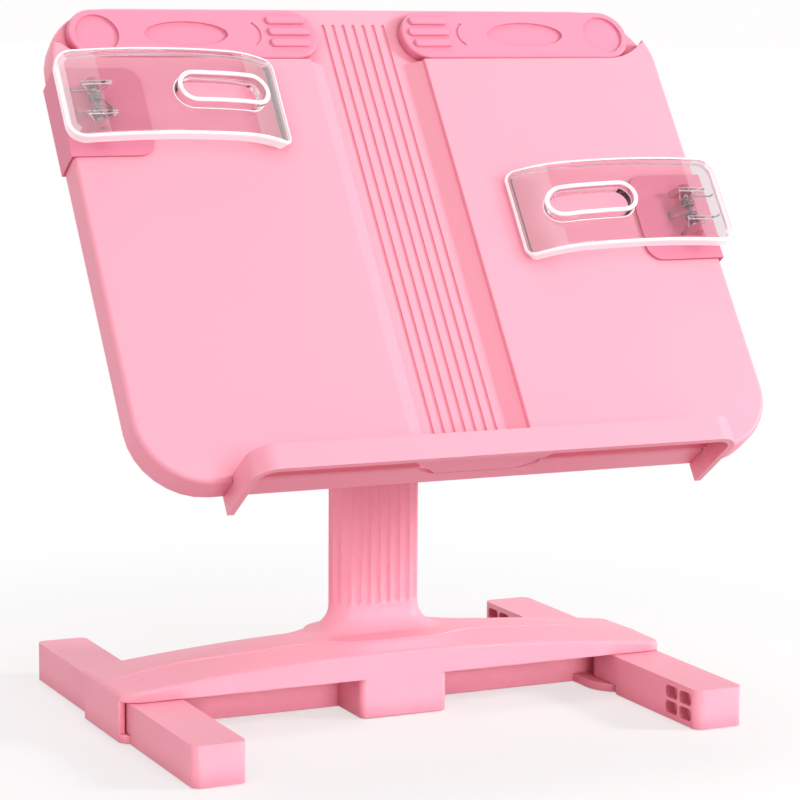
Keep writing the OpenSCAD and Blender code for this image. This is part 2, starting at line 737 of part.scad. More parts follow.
// Bracket on the back of the board, with two lugs for the tilt bolt
module tilt_bracket() color(DEEP_PINK) on_board() difference() {
    union() {
        translate([0, tilt_v, -board_t - bracket_t]) linear_extrude(bracket_t)
            round_box(bracket_w, bracket_h, 6);
        for (s = [-1, 1]) on_side(s) translate([lug_in, tilt_v, 0]) rotate([90, 0, 90])
            linear_extrude(lug_w) {
            translate([0, tilt_n]) circle(knuckle_r - 1);
            polygon([[-18, -board_t - bracket_t / 2], [18, -board_t - bracket_t / 2],
                [knuckle_r - 1, tilt_n], [1 - knuckle_r, tilt_n]]);
        }
    }
    translate([-50, tilt_v, tilt_n]) rotate([0, 90, 0]) cylinder(h = 100, d = bolt_d + 2 * seat_gap);
    for (at = bracket_screw_at) translate([at[0], at[1], -board_t - 20])
        cylinder(h = 30, d = screw_d + 2 * slide_gap);
}

module bracket_screws() color(STEEL) on_board()
    for (at = bracket_screw_at) translate([at[0], at[1], -board_t - bracket_t])
        mirror([0, 0, 1]) pan_screw(board_t + bracket_t + floor_back);

module tilt_bolt() color(STEEL) on_board() translate([-lug_out, tilt_v, tilt_n]) rotate([0, 90, 0]) {
    cylinder(h = 2 * lug_out + swing_gap + dial_t - 3.2, d = bolt_d);
    translate([0, 0, -5]) cylinder(h = 5, d = bolt_d * 1.7, $fn = 6);
}

module tilt_dial() color(DEEP_PINK) on_board()
    translate([lug_out + swing_gap, tilt_v, tilt_n]) rotate([0, 90, 0]) dial(tilt_dial_d, bolt_d, dial_t - 3);

// Ledge that carries the book: a skirt with side arms, a shelf and a tongue in the channel
module ledge() color(PINK) on_board() {
    half = ledge_w / 2;
    low = ledge_rise - ledge_h;
    shelf_t = ledge_rise - 0.8;
    difference() {
        union() {
            translate([0, ledge_rise, 0]) rotate([90, 0, 0]) linear_extrude(ledge_h) difference() {
                ledge_plan(0);
                ledge_plan(ledge_t);
            }
            translate([0, shelf_t, 0]) rotate([90, 0, 0]) linear_extrude(shelf_t - slide_gap / 2)
                difference() {
                ledge_plan(ledge_t / 2);
                translate([-half, -board_t * 2]) square([ledge_w, board_t * 2 + ledge_slot]);
            }
            translate([0, shelf_t, 0]) rotate([90, 0, 0]) linear_extrude(shelf_t - slide_gap / 2) polygon([
                [-channel_w / 2 - 1, ledge_slot + 1], [-channel_floor_w / 2 + 1, -channel_depth + slide_gap],
                [channel_floor_w / 2 - 1, -channel_depth + slide_gap], [channel_w / 2 + 1, ledge_slot + 1]]);
            translate([-18, slide_gap / 2, -channel_depth + slide_gap / 2]) cube([36, 18, 2.4]);
        }
        for (s = [-1, 1]) on_side(s) translate([channel_w / 2 + 2, -slide_gap / 2, -board_t * 2])
            cube([half, 50, board_t * 2 + slide_gap]);
        for (at = ledge_screw_at) translate([at[0], at[1], -20])
            cylinder(h = 30, d = screw_d + 2 * seat_gap);
        translate([-half - 1, low, -board_t]) rotate([0, 90, 0]) linear_extrude(2 * half + 2)
            difference() {
                square([5, 5]);
                translate([0, 5]) circle(5);
            }
    }
}

// Plan of the ledge across and out of the board, drawn in by inset and open at the back
module ledge_plan(inset) {
    half = ledge_w / 2 - inset;
    front = ledge_reach - inset;
    r = ledge_r - inset;
    back = -board_t - (inset > 0 ? 5 : 0);
    polygon(concat([[half, back]], arc([half - r, front - r], r, 0, 90),
        arc([-half + r, front - r], r, 90, 180), [[-half, back]]));
}

module ledge_screws() color(STEEL) on_board()
    for (at = ledge_screw_at) translate([at[0], at[1], -channel_depth + slide_gap / 2 + 2.4])
        pan_screw(2.4 + board_wall + 2.5);

// Flat ellipse, centred
module ellipse(length, w) {
    polygon([for (a = [0 : 9 : 351]) [length / 2 * cos(a), w / 2 * sin(a)]]);
}

// Page arm, for the right side
module arm_shape() {
    tip_u = arm_tip_gap / 2;
    mid_u = (tip_u + arm_pivot_u + arm_r) / 2;
    half_len = (arm_pivot_u + arm_r - tip_u) / 2;
    mark_at = [tip_u + bar_in + bar_len + 11.6, arm_v];
    difference() {
        union() {
            translate([mid_u, arm_v, arm_low_n]) linear_extrude(arm_t) oval(half_len - arm_r, arm_r);
            for (i = [-1, 0, 1]) let (length = bar_len - abs(i) * bar_cut)
                translate([tip_u + bar_in + bar_len - length / 2, arm_v + 1 + i * 6.5, arm_top_n - eps])
                linear_extrude(bar_rise + eps) oval((length - bar_w) / 2, bar_w / 2);
            translate([arm_pivot_u, arm_v, floor_back])
                cylinder(h = arm_low_n - floor_back + eps, d = arm_boss_d);
        }
        translate([arm_pivot_u, arm_v, arm_top_n - dimple_depth]) cylinder(h = 5, d = dimple_d);
        translate([arm_pivot_u - oval_back, arm_v, arm_top_n - dimple_depth * 0.6]) linear_extrude(5)
            ellipse(oval_len, oval_w);
        translate([0, 0, arm_top_n - 0.4]) linear_extrude(5)
            polygon(concat(arc(mark_at, mark_r + 0.6, 123, 237), arc(mark_at, mark_r - 0.6, 237, 123)));
        translate([arm_pivot_u, arm_v, floor_back - 1])
            cylinder(h = arm_t + board_wall, d = screw_d + 2 * seat_gap);
    }
}

module arm(s) color(DEEP_PINK) on_board() on_side(s) arm_shape();

// Screw and washer that hold an arm from inside the board
module arm_screw(s) color(STEEL) on_board() on_side(s) translate([arm_pivot_u, arm_v, floor_back]) {
    translate([0, 0, -1]) cylinder(h = arm_t + board_wall - 0.4, d = screw_d);
    translate([0, 0, -2]) cylinder(h = 2 - slide_gap / 2, d = arm_boss_d + 4);
}

// Carriage that slides on the side edge of the board, for the right side
module carriage_shape() {
    half = board_w / 2;
    out = half + slide_gap + carriage_t;
    front = slide_gap + carriage_t;
    back = -board_t - slide_gap - carriage_t;
    difference() {
        union() {
            carriage_plate(out, front);
            translate([half + slide_gap, 0, back]) cube([carriage_t, carriage_h, front - back]);
            translate([out - carriage_lip, 0, back]) cube([carriage_lip, carriage_h, carriage_t]);
            for (s = [-1, 1]) translate([clip_pin_u, carriage_h / 2 + s * (boss_in + boss_t / 2), 0])
                rotate([90, 0, 0]) translate([0, 0, -boss_t / 2]) linear_extrude(boss_t) {
                    translate([0, clip_pin_n]) circle(boss_r);
                    polygon([[-boss_foot, front - eps], [boss_foot, front - eps],
                        [boss_r, clip_pin_n], [-boss_r, clip_pin_n]]);
                }
        }
        translate([clip_pin_u, -1, clip_pin_n]) rotate([-90, 0, 0])
            cylinder(h = carriage_h + 2, d = clip_pin_d + 2 * seat_gap);
    }
}

// Face plate of a carriage with two round inner corners
module carriage_plate(out, front) {
    r = 8;
    inner = board_w / 2 - carriage_reach;
    translate([0, 0, slide_gap]) linear_extrude(front - slide_gap) polygon(concat(
        [[out, 0], [out, carriage_h]],
        arc([inner + r, carriage_h - r], r, 90, 180),
        arc([inner + r, r], r, 180, 270)));
}

module carriage(s, v) color(DEEP_PINK) on_board() on_side(s) translate([0, v, 0]) carriage_shape();

module clip_pin(s, v) color(STEEL) on_board() on_side(s)
    translate([clip_pin_u, v + carriage_h / 2 - boss_in - boss_t, clip_pin_n]) rotate([-90, 0, 0])
        cylinder(h = 2 * (boss_in + boss_t), d = clip_pin_d);

// Side profile of a clear clip, low and high being measured down from its arched top
module clip_profile(low, high) {
    hook_a = asin((arch_u - hook_u) / arch_r);
    hook_c = [arch_u, arch_n - arch_r] + (arch_r - hook_r) * [-sin(hook_a), cos(hook_a)];
    intersection() {
        difference() {
            translate([arch_u, arch_n - arch_r]) circle(arch_r - high, $fn = 360);
            translate([arch_u, arch_n - arch_r]) circle(arch_r - low, $fn = 360);
        }
        polygon([[arch_u, arch_n - arch_r], hook_c + 2 * hook_r * [-sin(hook_a), cos(hook_a)],
            [arch_u, arch_n + 50], [clip_end_u + 50, arch_n + 50], [clip_end_u + 50, arch_n - arch_r]]);
    }
    intersection() {
        difference() {
            translate(hook_c) circle(hook_r - high, $fn = 180);
            translate(hook_c) circle(hook_r - low, $fn = 180);
        }
        polygon([hook_c, hook_c + 2 * hook_r * [-sin(hook_a), cos(hook_a)],
            hook_c + [-2 * hook_r, 2 * hook_r], hook_c + [-2 * hook_r, 0]]);
    }
}

// Stretch of the arched plate inside a flat outline
module clip_band(low, high) {
    intersection() {
        translate([0, 2 * carriage_h, 0]) rotate([90, 0, 0]) linear_extrude(3 * carriage_h)
            clip_profile(low, high);
        translate([0, 0, -40]) linear_extrude(100) children();
    }
}

// Outline of a clip, drawn in by inset, with its own corners at each end
module clip_outline(inset = 0) {
    out = clip_end_u - inset;
    tip = clip_end_u - clip_len + inset;
    top = carriage_h / 2 + clip_lift + clip_w / 2 - inset;
    low = carriage_h / 2 + clip_lift - clip_w / 2 + inset;
    r = max(0.3, clip_r - inset);
    tip_r = max(0.3, clip_tip_r - inset);
    polygon(concat(
        arc([out - r, top - r], r, 0, 90),
        arc([tip + tip_r, top - tip_r], tip_r, 90, 180),
        arc([tip + tip_r, low + tip_r], tip_r, 180, 270),
        arc([out - r, low + r], r, 270, 360)));
}

module finger_outline(grow) {
    translate([clip_end_u - clip_len + finger_in, carriage_h / 2 + clip_lift - finger_drop])
        oval((finger_len - finger_w) / 2, finger_w / 2 + grow);
}

// Clear clip, for the right side
module clip_shape() {
    ear_top = arch_n - plate_top - clip_t - pow(clip_pin_u - arch_u, 2) / (2 * arch_r);
    difference() {
        union() {
            clip_band(plate_top + clip_t, plate_top) clip_outline();
            clip_band(plate_top + skirt_depth, plate_top) difference() {
                clip_outline();
                clip_outline(skirt_wall);
            }
            clip_band(plate_top + clip_t, plate_top - collar_h) finger_outline(finger_wall);
            for (s = [-1, 1]) translate([clip_pin_u, carriage_h / 2 + s * (ear_in + ear_t / 2), 0])
                rotate([90, 0, 0]) translate([0, 0, -ear_t / 2]) linear_extrude(ear_t) {
                    translate([0, clip_pin_n]) circle(boss_r);
                    polygon([[-ear_back, ear_top + ear_root], [ear_out, ear_top + ear_root / 2],
                        [boss_r, clip_pin_n], [-boss_r, clip_pin_n]]);
                }
        }
        translate([0, -carriage_h, tip_gap - 50]) cube([2 * clip_end_u, 3 * carriage_h, 50]);
        translate([0, 0, -40]) linear_extrude(100) finger_outline(0);
        translate([clip_pin_u, -1, clip_pin_n]) rotate([-90, 0, 0])
            cylinder(h = carriage_h + 2, d = clip_pin_d + 2 * run_gap);
    }
}

module clip(s, v) color("white", 0.4) on_board() on_side(s) translate([0, v, 0]) clip_shape();

// Centre line of one half of a double torsion spring about the hinge pin: x out, y along the pin, z up
coil_r = coil_d / 2;
coil_start = 1.9;
arm_reach = 11.5;
tip_drop = pow(clip_pin_u + arm_reach + 1 - arch_u, 2) / (2 * arch_r);
tip_rise = arch_n - plate_top - clip_t - tip_drop - clip_pin_n - slide_gap;
bridge_z = plate_n + wire_d / 2 + slide_gap - clip_pin_n;
leave_a = 135;
spring_bend = 0.9;
function spring_half() =
    let (
        coil_end = coil_start + coil_turns * coil_pitch,
        whole = 360 * coil_turns + leave_a - 90,
        steps = 8 * coil_turns + 1,
        coil = [for (i = [0 : steps]) let (a = 90 + whole * i / steps)
            [coil_r * cos(a), coil_end - (coil_end - coil_start) * i / steps, coil_r * sin(a)]],
        last = coil[steps],
        run = last[2] - bridge_z,
        foot = [last[0] - run, coil_start, bridge_z])
    concat(
        [[arm_reach + 1, coil_end, tip_rise], [arm_reach + 1, coil_end, coil_r + spring_bend + 0.1],
         [arm_reach + 0.7, coil_end, coil_r + 0.3], [arm_reach, coil_end, coil_r],
         [arm_reach / 2, coil_end, coil_r]],
        coil,
        [last + (foot - last) * 0.5, foot + [0.5, 0, 0.5], foot + [0, -0.5, 0]]);
function flipped(path) = [for (i = [len(path) - 1 : -1 : 0]) [path[i][0], -path[i][1], path[i][2]]];
spring_path = concat(spring_half(), flipped(spring_half()));
spring_last = len(spring_path) - 1;
spring_gap = min([for (i = [0 : spring_last], j = [i + 6 : 1 : spring_last])
    norm(spring_path[i] - spring_path[j])]) - wire_d;
spring_dirs = [for (i = [0 : spring_last])
    unit(spring_path[min(i + 1, spring_last)] - spring_path[max(i - 1, 0)])];
spring_sides = [for (i = 0, n = [0, 1, 0]; i <= spring_last;
    i = i + 1, n = i <= spring_last ? unit(n - (n * spring_dirs[i]) * spring_dirs[i]) : n) n];

// One unbroken wire along the centre line, of six sides
module spring_wire() {
    sides = 6;
    points = [for (i = [0 : spring_last], k = [0 : sides - 1])
        let (n = spring_sides[i], b = cross(spring_dirs[i], n), a = 360 * k / sides)
        spring_path[i] + wire_d / 2 * (cos(a) * n + sin(a) * b)];
    skin = [for (i = [0 : spring_last - 1], k = [0 : sides - 1], t = [0, 1])
        let (m = (k + 1) % sides, p = i * sides, q = p + sides)
        t == 0 ? [p + k, q + m, q + k] : [p + k, p + m, q + m]];
    start = [for (k = [1 : sides - 2]) [0, k + 1, k]];
    end = [for (k = [1 : sides - 2]) let (p = spring_last * sides) [p, p + k, p + k + 1]];
    polyhedron(points = points, faces = concat(skin, start, end), convexity = 10);
}

module clip_spring(s, v) color(STEEL) on_board() on_side(s)
    translate([clip_pin_u, v + carriage_h / 2, clip_pin_n]) spring_wire();

echo(spring_least_gap = spring_gap);

base_beam();
column();
column_bush();
column_screws();
leg_pins();
centre_pad();
leg(-1, -1);  // leg_front_left
leg(1, -1);  // leg_front_right
leg(-1, 1);  // leg_rear_left
leg(1, 1);  // leg_rear_right
leg_pad(-1, -1);  // pad_front_left
leg_pad(1, -1);  // pad_front_right
leg_pad(-1, 1);  // pad_rear_left
leg_pad(1, 1);  // pad_rear_right
height_dial();
height_stud();
mast();
tilt_head();
head_screws();
friction_washers();
board_panel();
back_cover();
cover_screws();
tilt_bracket();
bracket_screws();
tilt_bolt();
tilt_dial();
ledge();
ledge_screws();
arm(-1);  // arm_left
arm(1);  // arm_right
arm_screw(-1);  // arm_screw_left
arm_screw(1);  // arm_screw_right
carriage(-1, left_clip_v);  // carriage_left
carriage(1, right_clip_v);  // carriage_right
clip_pin(-1, left_clip_v);  // clip_pin_left
clip_pin(1, right_clip_v);  // clip_pin_right
clip_spring(-1, left_clip_v);  // clip_spring_left
clip_spring(1, right_clip_v);  // clip_spring_right
clip(-1, left_clip_v);  // clip_left
clip(1, right_clip_v);  // clip_right
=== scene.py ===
"""Looks of a tilting desk book stand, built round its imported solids."""

import json
import math
from types import SimpleNamespace

import bmesh
import bpy
from mathutils import Matrix, Vector
from mathutils.geometry import tessellate_polygon


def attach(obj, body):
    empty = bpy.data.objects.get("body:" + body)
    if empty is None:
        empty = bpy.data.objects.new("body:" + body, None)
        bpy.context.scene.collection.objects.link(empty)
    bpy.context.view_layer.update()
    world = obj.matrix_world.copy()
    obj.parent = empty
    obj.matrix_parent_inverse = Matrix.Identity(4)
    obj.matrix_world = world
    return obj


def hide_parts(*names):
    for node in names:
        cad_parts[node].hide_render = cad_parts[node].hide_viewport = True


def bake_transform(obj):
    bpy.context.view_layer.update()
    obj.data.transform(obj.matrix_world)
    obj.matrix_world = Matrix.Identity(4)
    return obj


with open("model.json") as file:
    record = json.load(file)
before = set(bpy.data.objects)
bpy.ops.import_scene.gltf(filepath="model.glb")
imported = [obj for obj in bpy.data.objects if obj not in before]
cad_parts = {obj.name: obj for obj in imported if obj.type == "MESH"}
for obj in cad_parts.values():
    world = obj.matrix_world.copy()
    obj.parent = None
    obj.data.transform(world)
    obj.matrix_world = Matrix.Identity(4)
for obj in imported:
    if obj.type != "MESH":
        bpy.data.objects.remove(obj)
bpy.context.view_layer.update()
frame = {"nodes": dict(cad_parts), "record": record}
NODES = frame["nodes"]
MM = 0.001

bl_info = {
    "name": "Book Stand",
    "version": (1, 0, 0),
    "blender": (4, 5, 0),
    "location": "3D View > Sidebar > Book Stand",
    "description": "Dresses a tilting desk book stand with moulded shapes and finishes",
    "category": "Add Mesh",
}


def length_prop(name, description, default, low=0):
    """A length, written in millimetres and kept in metres."""
    return bpy.props.FloatProperty(name=name, description=description, default=default * MM,
                                   min=low * MM, precision=4, unit="LENGTH")


def colour_prop(name, description, default):
    """A linear colour."""
    return bpy.props.FloatVectorProperty(
        name=name, description=description, default=default, size=4, subtype="COLOR", min=0, max=1)


class BookStandBoard(bpy.types.PropertyGroup):
    """Sizes of the board and what lies on it."""

    origin_y: length_prop("Origin Y", "Depth of the board's lower front edge", -110.213, -1000)
    origin_z: length_prop("Origin Z", "Height of the board's lower front edge", 135.406)
    lean: bpy.props.FloatProperty(name="Lean", description="Lean of the board from upright",
                                  default=math.radians(35), subtype="ANGLE")
    width: length_prop("Width", "Width of the board", 320)
    height: length_prop("Height", "Height of the board along its slope", 253.6)
    low_r: length_prop("Lower corners", "Radius of the lower corners", 33)
    top_r: length_prop("Upper corners", "Radius of the upper corners", 36)
    edge_r: length_prop("Edge", "Rounding of the face's outer edge", 2.2)
    wall: length_prop("Wall", "Wall of the moulding", 2.4)
    back: length_prop("Back", "Depth of the seam with the back cover", 12.4)
    channel_w: length_prop("Channel", "Width of the channel at the face", 60)
    floor_w: length_prop("Channel floor", "Width of the channel floor", 43.3)
    depth: length_prop("Channel depth", "Depth of the channel and the arm recess", 6.4)
    groove_pitch: length_prop("Groove pitch", "Distance between grooves", 5.35)
    groove_w: length_prop("Groove width", "Width of a groove", 1.5)
    recess_v: length_prop("Recess", "Height where the arm recess begins", 220.7)
    arm_v: length_prop("Arm height", "Height of the arm pivots", 235.6)
    arm_pivot: length_prop("Arm pivot", "Distance of an arm pivot from the middle", 134.6)
    arm_w: length_prop("Arm width", "Width of a page arm", 28)
    arm_tip: length_prop("Arm tip", "Distance of a closed arm's tip from the middle", 22.6)
    shoulder_r: length_prop("Shoulder", "Radius of the shoulders round the arm pivots", 32)


class BookStandClips(bpy.types.PropertyGroup):
    """Sizes of the clear page clips and their springs."""

    left_v: length_prop("Left height", "Middle of the left carriage above the board's foot", 190.3)
    right_v: length_prop("Right height", "Middle of the right carriage above the board's foot", 125.9)
    end_u: length_prop("Outer end", "Distance of a clip's outer end from the middle", 164.7)
    length: length_prop("Length", "Length of a clip", 112.9)
    width: length_prop("Width", "Width of a clip", 47.4)
    lift: length_prop("Lift", "Offset of a clip up the board from its carriage", 2.3)
    corner: length_prop("Outer corner", "Corner radius of a clip's outer end", 9)
    tip_corner: length_prop("Tip corner", "Corner radius of a clip's inner end", 5)
    skirt: length_prop("Skirt", "Depth of the skirt below the top of a clip", 5.6)
    collar: length_prop("Collar", "Height of the finger hole's collar above a clip", 5.6)
    pin_u: length_prop("Pin place", "Distance of a hinge pin from the middle", 146)
    pin_n: length_prop("Pin height", "Height of a hinge pin above the face", 6.8)
    arch_n: length_prop("Arch", "Height of the arch above the face", 16.8)
    finger_len: length_prop("Finger hole", "Length of the finger hole", 41.4)
    finger_w: length_prop("Finger width", "Width of the finger hole", 12.6)
    finger_in: length_prop("Finger place", "Distance of the finger hole's middle from the tip", 36)
    finger_drop: length_prop("Finger drop", "Offset of the finger hole below the clip's middle", 1.1)
    arch_back: length_prop("Arch place", "Distance of the arch's top from the clip's outer end", 45.7)
    wire_d: length_prop("Wire", "Diameter of the spring wire", 0.8)


class BookStandBase(bpy.types.PropertyGroup):
    """Sizes of the beam and the column."""

    length: length_prop("Length", "Length of the beam", 288.6)
    depth: length_prop("Depth", "Depth of the beam", 61.5)
    edge_z: length_prop("Edge height", "Height of the beam's long edges at the middle", 32.5)
    arch_r: length_prop("Arch", "Radius of the arch along the beam", 1177)
    crown: length_prop("Crown", "Rise of the crown above the edges", 5.1)
    end_r: length_prop("Front ends", "Radius of the beam's front corners", 9.5)
    back_r: length_prop("Back ends", "Radius of the beam's back corners", 5)
    deck_z: length_prop("Underside", "Height of the underside of the deck", 19.9)
    foot_z: length_prop("Foot", "Height of the plastic above the table", 0.4)
    column_y: length_prop("Column place", "Depth of the column's middle", 7.5)
    column_c: length_prop("Column flat", "Half length of the column's flat sides", 13.8)
    column_r: length_prop("Column ends", "Radius of the column's round ends", 9.5)
    column_top: length_prop("Column top", "Height of the column's top", 168)
    seat_z: length_prop("Column seat", "Height of the column's seat", 33.5)
    flare_r: length_prop("Flare", "Radius of the flare at the column's foot", 12)
    flutes: bpy.props.IntProperty(name="Flutes", description="Number of flutes round the column",
                                  default=22, min=4)


class BookStandColours(bpy.types.PropertyGroup):
    """Colours of the finishes."""

    pink: colour_prop("Pink", "Moulded plastic of the board, post and base", (0.968, 0.418, 0.52, 1))
    deep: colour_prop("Deep pink", "Moulded plastic of the arms and dials", (0.88, 0.32, 0.452, 1))
    # Part of this tint is real and part is painted shade: it darkens the board seen through a clip in
    # place of the shade the clip throws.
    clear: colour_prop("Clear", "Clear plastic of the page clips", (0.82, 0.7, 0.735, 1))
    steel: colour_prop("Steel", "Springs, pins, screws and mast", (0.34, 0.345, 0.355, 1))
    rubber: colour_prop("Rubber", "Foot pads", (0.55, 0.22, 0.30, 1))


def in_mm(sizes):
    """The sizes of a property group, with its lengths in millimetres."""
    kinds = sizes.bl_rna.properties
    values = {key: getattr(sizes, key) for key in type(sizes).__annotations__}
    return SimpleNamespace(**{
        key: round(value / MM, 4) if kinds[key].unit == "LENGTH" else value
        for key, value in values.items()})


def arc(cx, cy, r, start, end, steps=14):
    """Points of an arc between two angles in degrees."""
    angles = [math.radians(start + (end - start) * i / steps) for i in range(steps + 1)]
    return [(cx + r * math.cos(a), cy + r * math.sin(a)) for a in angles]


def circle(cx, cy, r, count):
    """Points of a whole circle."""
    return arc(cx, cy, r, 0, 360, count)[:-1]


def round_box(w, d, r, cx=0):
    """Outline of a rectangle with round corners."""
    x, y = w / 2 - r, d / 2 - r
    return (arc(cx + x, y, r, 0, 90) + arc(cx - x, y, r, 90, 180)
            + arc(cx - x, -y, r, 180, 270) + arc(cx + x, -y, r, 270, 360))


def capsule(length, w, cx=0, cy=0):
    """Outline of a bar with round ends along x."""
    c, r = (length - w) / 2, w / 2
    return arc(cx + c, cy, r, -90, 90, 24) + arc(cx - c, cy, r, 90, 270, 24)


def mirrored(points):
    """An outline mirrored in x, still counter-clockwise."""
    return [(-x, y) for x, y in reversed(points)]


def inset(points, distance):
    """A counter-clockwise outline drawn in by a distance, or by one distance for each point."""
    n = len(points)
    each = distance if isinstance(distance, list) else [distance] * n
    moved = []
    for i, (x, y) in enumerate(points):
        before = Vector((x - points[i - 1][0], y - points[i - 1][1])).normalized()
        after = Vector((points[(i + 1) % n][0] - x, points[(i + 1) % n][1] - y)).normalized()
        middle = before + after
        middle = middle.normalized() if middle.length > 1e-6 else before
        turn = max(0.4, middle.dot(after))
        moved.append((x - middle.y * each[i] / turn, y + middle.x * each[i] / turn))
    return moved


def ring(bm, outline, z):
    """Vertices of an outline at height z."""
    return [bm.verts.new((x, y, z)) for x, y in outline]


def skin(bm, low, high):
    """Faces between two rings of the same length."""
    n = len(low)
    for i in range(n):
        k = (i + 1) % n
        bm.faces.new((low[i], low[k], high[k], high[i]))


def skins(bm, rings):
    """Faces along a row of rings."""
    for low, high in zip(rings, rings[1:]):
        skin(bm, low, high)


def skins_in(bm, rings):
    """Faces along a row of rings, looking inwards."""
    skins(bm, [list(reversed(r)) for r in rings])


def cap(bm, outer, holes=()):
    """A flat face inside a ring, with other rings as holes in it."""
    if not holes:
        bm.faces.new(outer)
        return
    loops = [outer, *holes]
    flat = [v for loop in loops for v in loop]
    for tri in tessellate_polygon([[v.co.copy() for v in loop] for loop in loops]):
        bm.faces.new([flat[i] for i in tri])


def rounded(r, steps=4):
    """Pairs of inset and drop along a quarter round, from the side to the top."""
    if not r:
        return [(0.0, 0.0)]
    angles = [math.pi / 2 * i / steps for i in range(steps + 1)]
    return [(r * (1 - math.cos(a)), r * (1 - math.sin(a))) for a in angles]


def scaled(share, distance):
    """One inset for each point of an outline, or one for them all."""
    return distance * share if not isinstance(share, list) else [distance * s for s in share]


def moulding(bm, outline, low, high, top_r, low_r, holes=(), share=1.0, low_outline=None):
    """A slab with rounded edges and rings as holes in its top. share scales the top rounding."""
    below = low_outline or outline
    rings = [ring(bm, inset(below, i), low + d) for i, d in reversed(rounded(low_r))]
    rings += [ring(bm, inset(outline, scaled(share, i)), high - d) for i, d in rounded(top_r)]
    skins(bm, rings)
    cap(bm, list(reversed(rings[0])))
    cap(bm, rings[-1], holes)


def dish(bm, outline, top, depth, edge_r, floor_r):
    """A dished hollow with a soft lip and floor. Gives the ring where it meets the face above."""
    rows = [(-drop, top - step) for step, drop in rounded(edge_r)]
    rows += [(step, top - depth + drop) for step, drop in rounded(floor_r)]
    rings = [ring(bm, inset(outline, d), z) for d, z in rows]
    skins_in(bm, rings)
    cap(bm, rings[-1])
    return rings[0]


def finish_mesh(bm, name, matrix=Matrix.Identity(4), smooth=38):
    """Makes an object of millimetre geometry, placed by a matrix in millimetres."""
    bmesh.ops.remove_doubles(bm, verts=bm.verts, dist=1e-5)
    bmesh.ops.recalc_face_normals(bm, faces=bm.faces)
    mesh = bpy.data.meshes.new(name)
    bm.to_mesh(mesh)
    bm.free()
    mesh.transform(Matrix.Scale(MM, 4) @ matrix)
    if matrix.determinant() < 0:
        mesh.flip_normals()
    mesh.polygons.foreach_set("use_smooth", [True] * len(mesh.polygons))
    mesh.set_sharp_from_angle(angle=math.radians(smooth))
    piece = bpy.data.objects.new(name, mesh)
    bpy.context.scene.collection.objects.link(piece)
    piece.modifiers.new("Even shading", "WEIGHTED_NORMAL").keep_sharp = True
    return piece


def place(piece, body, material, node):
    """Puts a piece on its body with its finish, in place of the solid it stands for."""
    piece.data.materials.append(material)
    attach(piece, body)
    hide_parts(node)
    return piece


def softened(node, edge):
    """A copy of a solid with its sharp edges rounded."""
    sharp_angle = math.radians(35)
    bm = bmesh.new()
    bm.from_mesh(NODES[node].data)
    bmesh.ops.transform(bm, matrix=Matrix.Scale(1 / MM, 4), verts=bm.verts)
    bmesh.ops.remove_doubles(bm, verts=bm.verts, dist=1e-3)
    bmesh.ops.dissolve_limit(bm, angle_limit=math.radians(1), verts=bm.verts, edges=bm.edges)
    sharp = [e for e in bm.edges
             if len(e.link_faces) == 2 and e.calc_face_angle() > sharp_angle]
    bmesh.ops.bevel(bm, geom=sharp, offset=edge, segments=3, profile=0.5, affect="EDGES",
                    clamp_overlap=True)
    return finish_mesh(bm, node + "_moulded", smooth=30)


def board_matrix(board):
    """From the board's own axes, across, up the slope and out of its face, to the frame."""
    return (Matrix.Translation((0, board.origin_y, board.origin_z))
            @ Matrix.Rotation(math.pi / 2 - board.lean, 4, "X"))


def side_matrix(side):
    """Mirrors what is drawn for the right side when the side is -1."""
    return Matrix.Diagonal((side, 1, 1, 1))


# Kinds of socket, and values that several finishes share.
COLOUR, VALUE = "NodeSocketColor", "NodeSocketFloat"
SKIN_DEPTH = 0.1 * MM
CLEAR_IOR = 1.49
CLEAR_SHADOW = (0.94, 0.92, 0.93, 1)
FROST, FROST_SHADE = (0.97, 0.955, 0.96, 1), (0.95, 0.92, 0.93, 1)


def group_of(name, inputs, outputs):
    """An empty shader group with its sockets, and the sockets of what it is given."""
    group = bpy.data.node_groups.new(name, "ShaderNodeTree")
    for label, kind, default in inputs:
        socket = group.interface.new_socket(label, in_out="INPUT", socket_type=kind)
        socket.default_value = default
    for label, kind in outputs:
        group.interface.new_socket(label, in_out="OUTPUT", socket_type=kind)
    return group, group.nodes.new("NodeGroupInput").outputs


def node_in(tree, kind, links=None, **settings):
    """A node with its settings, its inputs set to values or linked to sockets."""
    node = tree.nodes.new(kind)
    for key, value in settings.items():
        setattr(node, key, value)
    for key, value in (links or {}).items():
        if isinstance(value, bpy.types.NodeSocket):
            tree.links.new(value, node.inputs[key])
        else:
            node.inputs[key].default_value = value
    return node


def value_of(tree, operation, *values):
    """The result of a sum on values or sockets."""
    return node_in(tree, "ShaderNodeMath", dict(enumerate(values)), operation=operation).outputs[0]


def mixed(tree, share, first, second):
    """A colour between two others."""
    return node_in(tree, "ShaderNodeMix", {0: share, "A": first, "B": second},
                   data_type="RGBA").outputs["Result"]


def noise(tree, where, scale, detail, roughness=0.5):
    """A cloudy value at a place."""
    return node_in(tree, "ShaderNodeTexNoise", {
        "Vector": where, "Scale": scale, "Detail": detail, "Roughness": roughness}).outputs["Fac"]


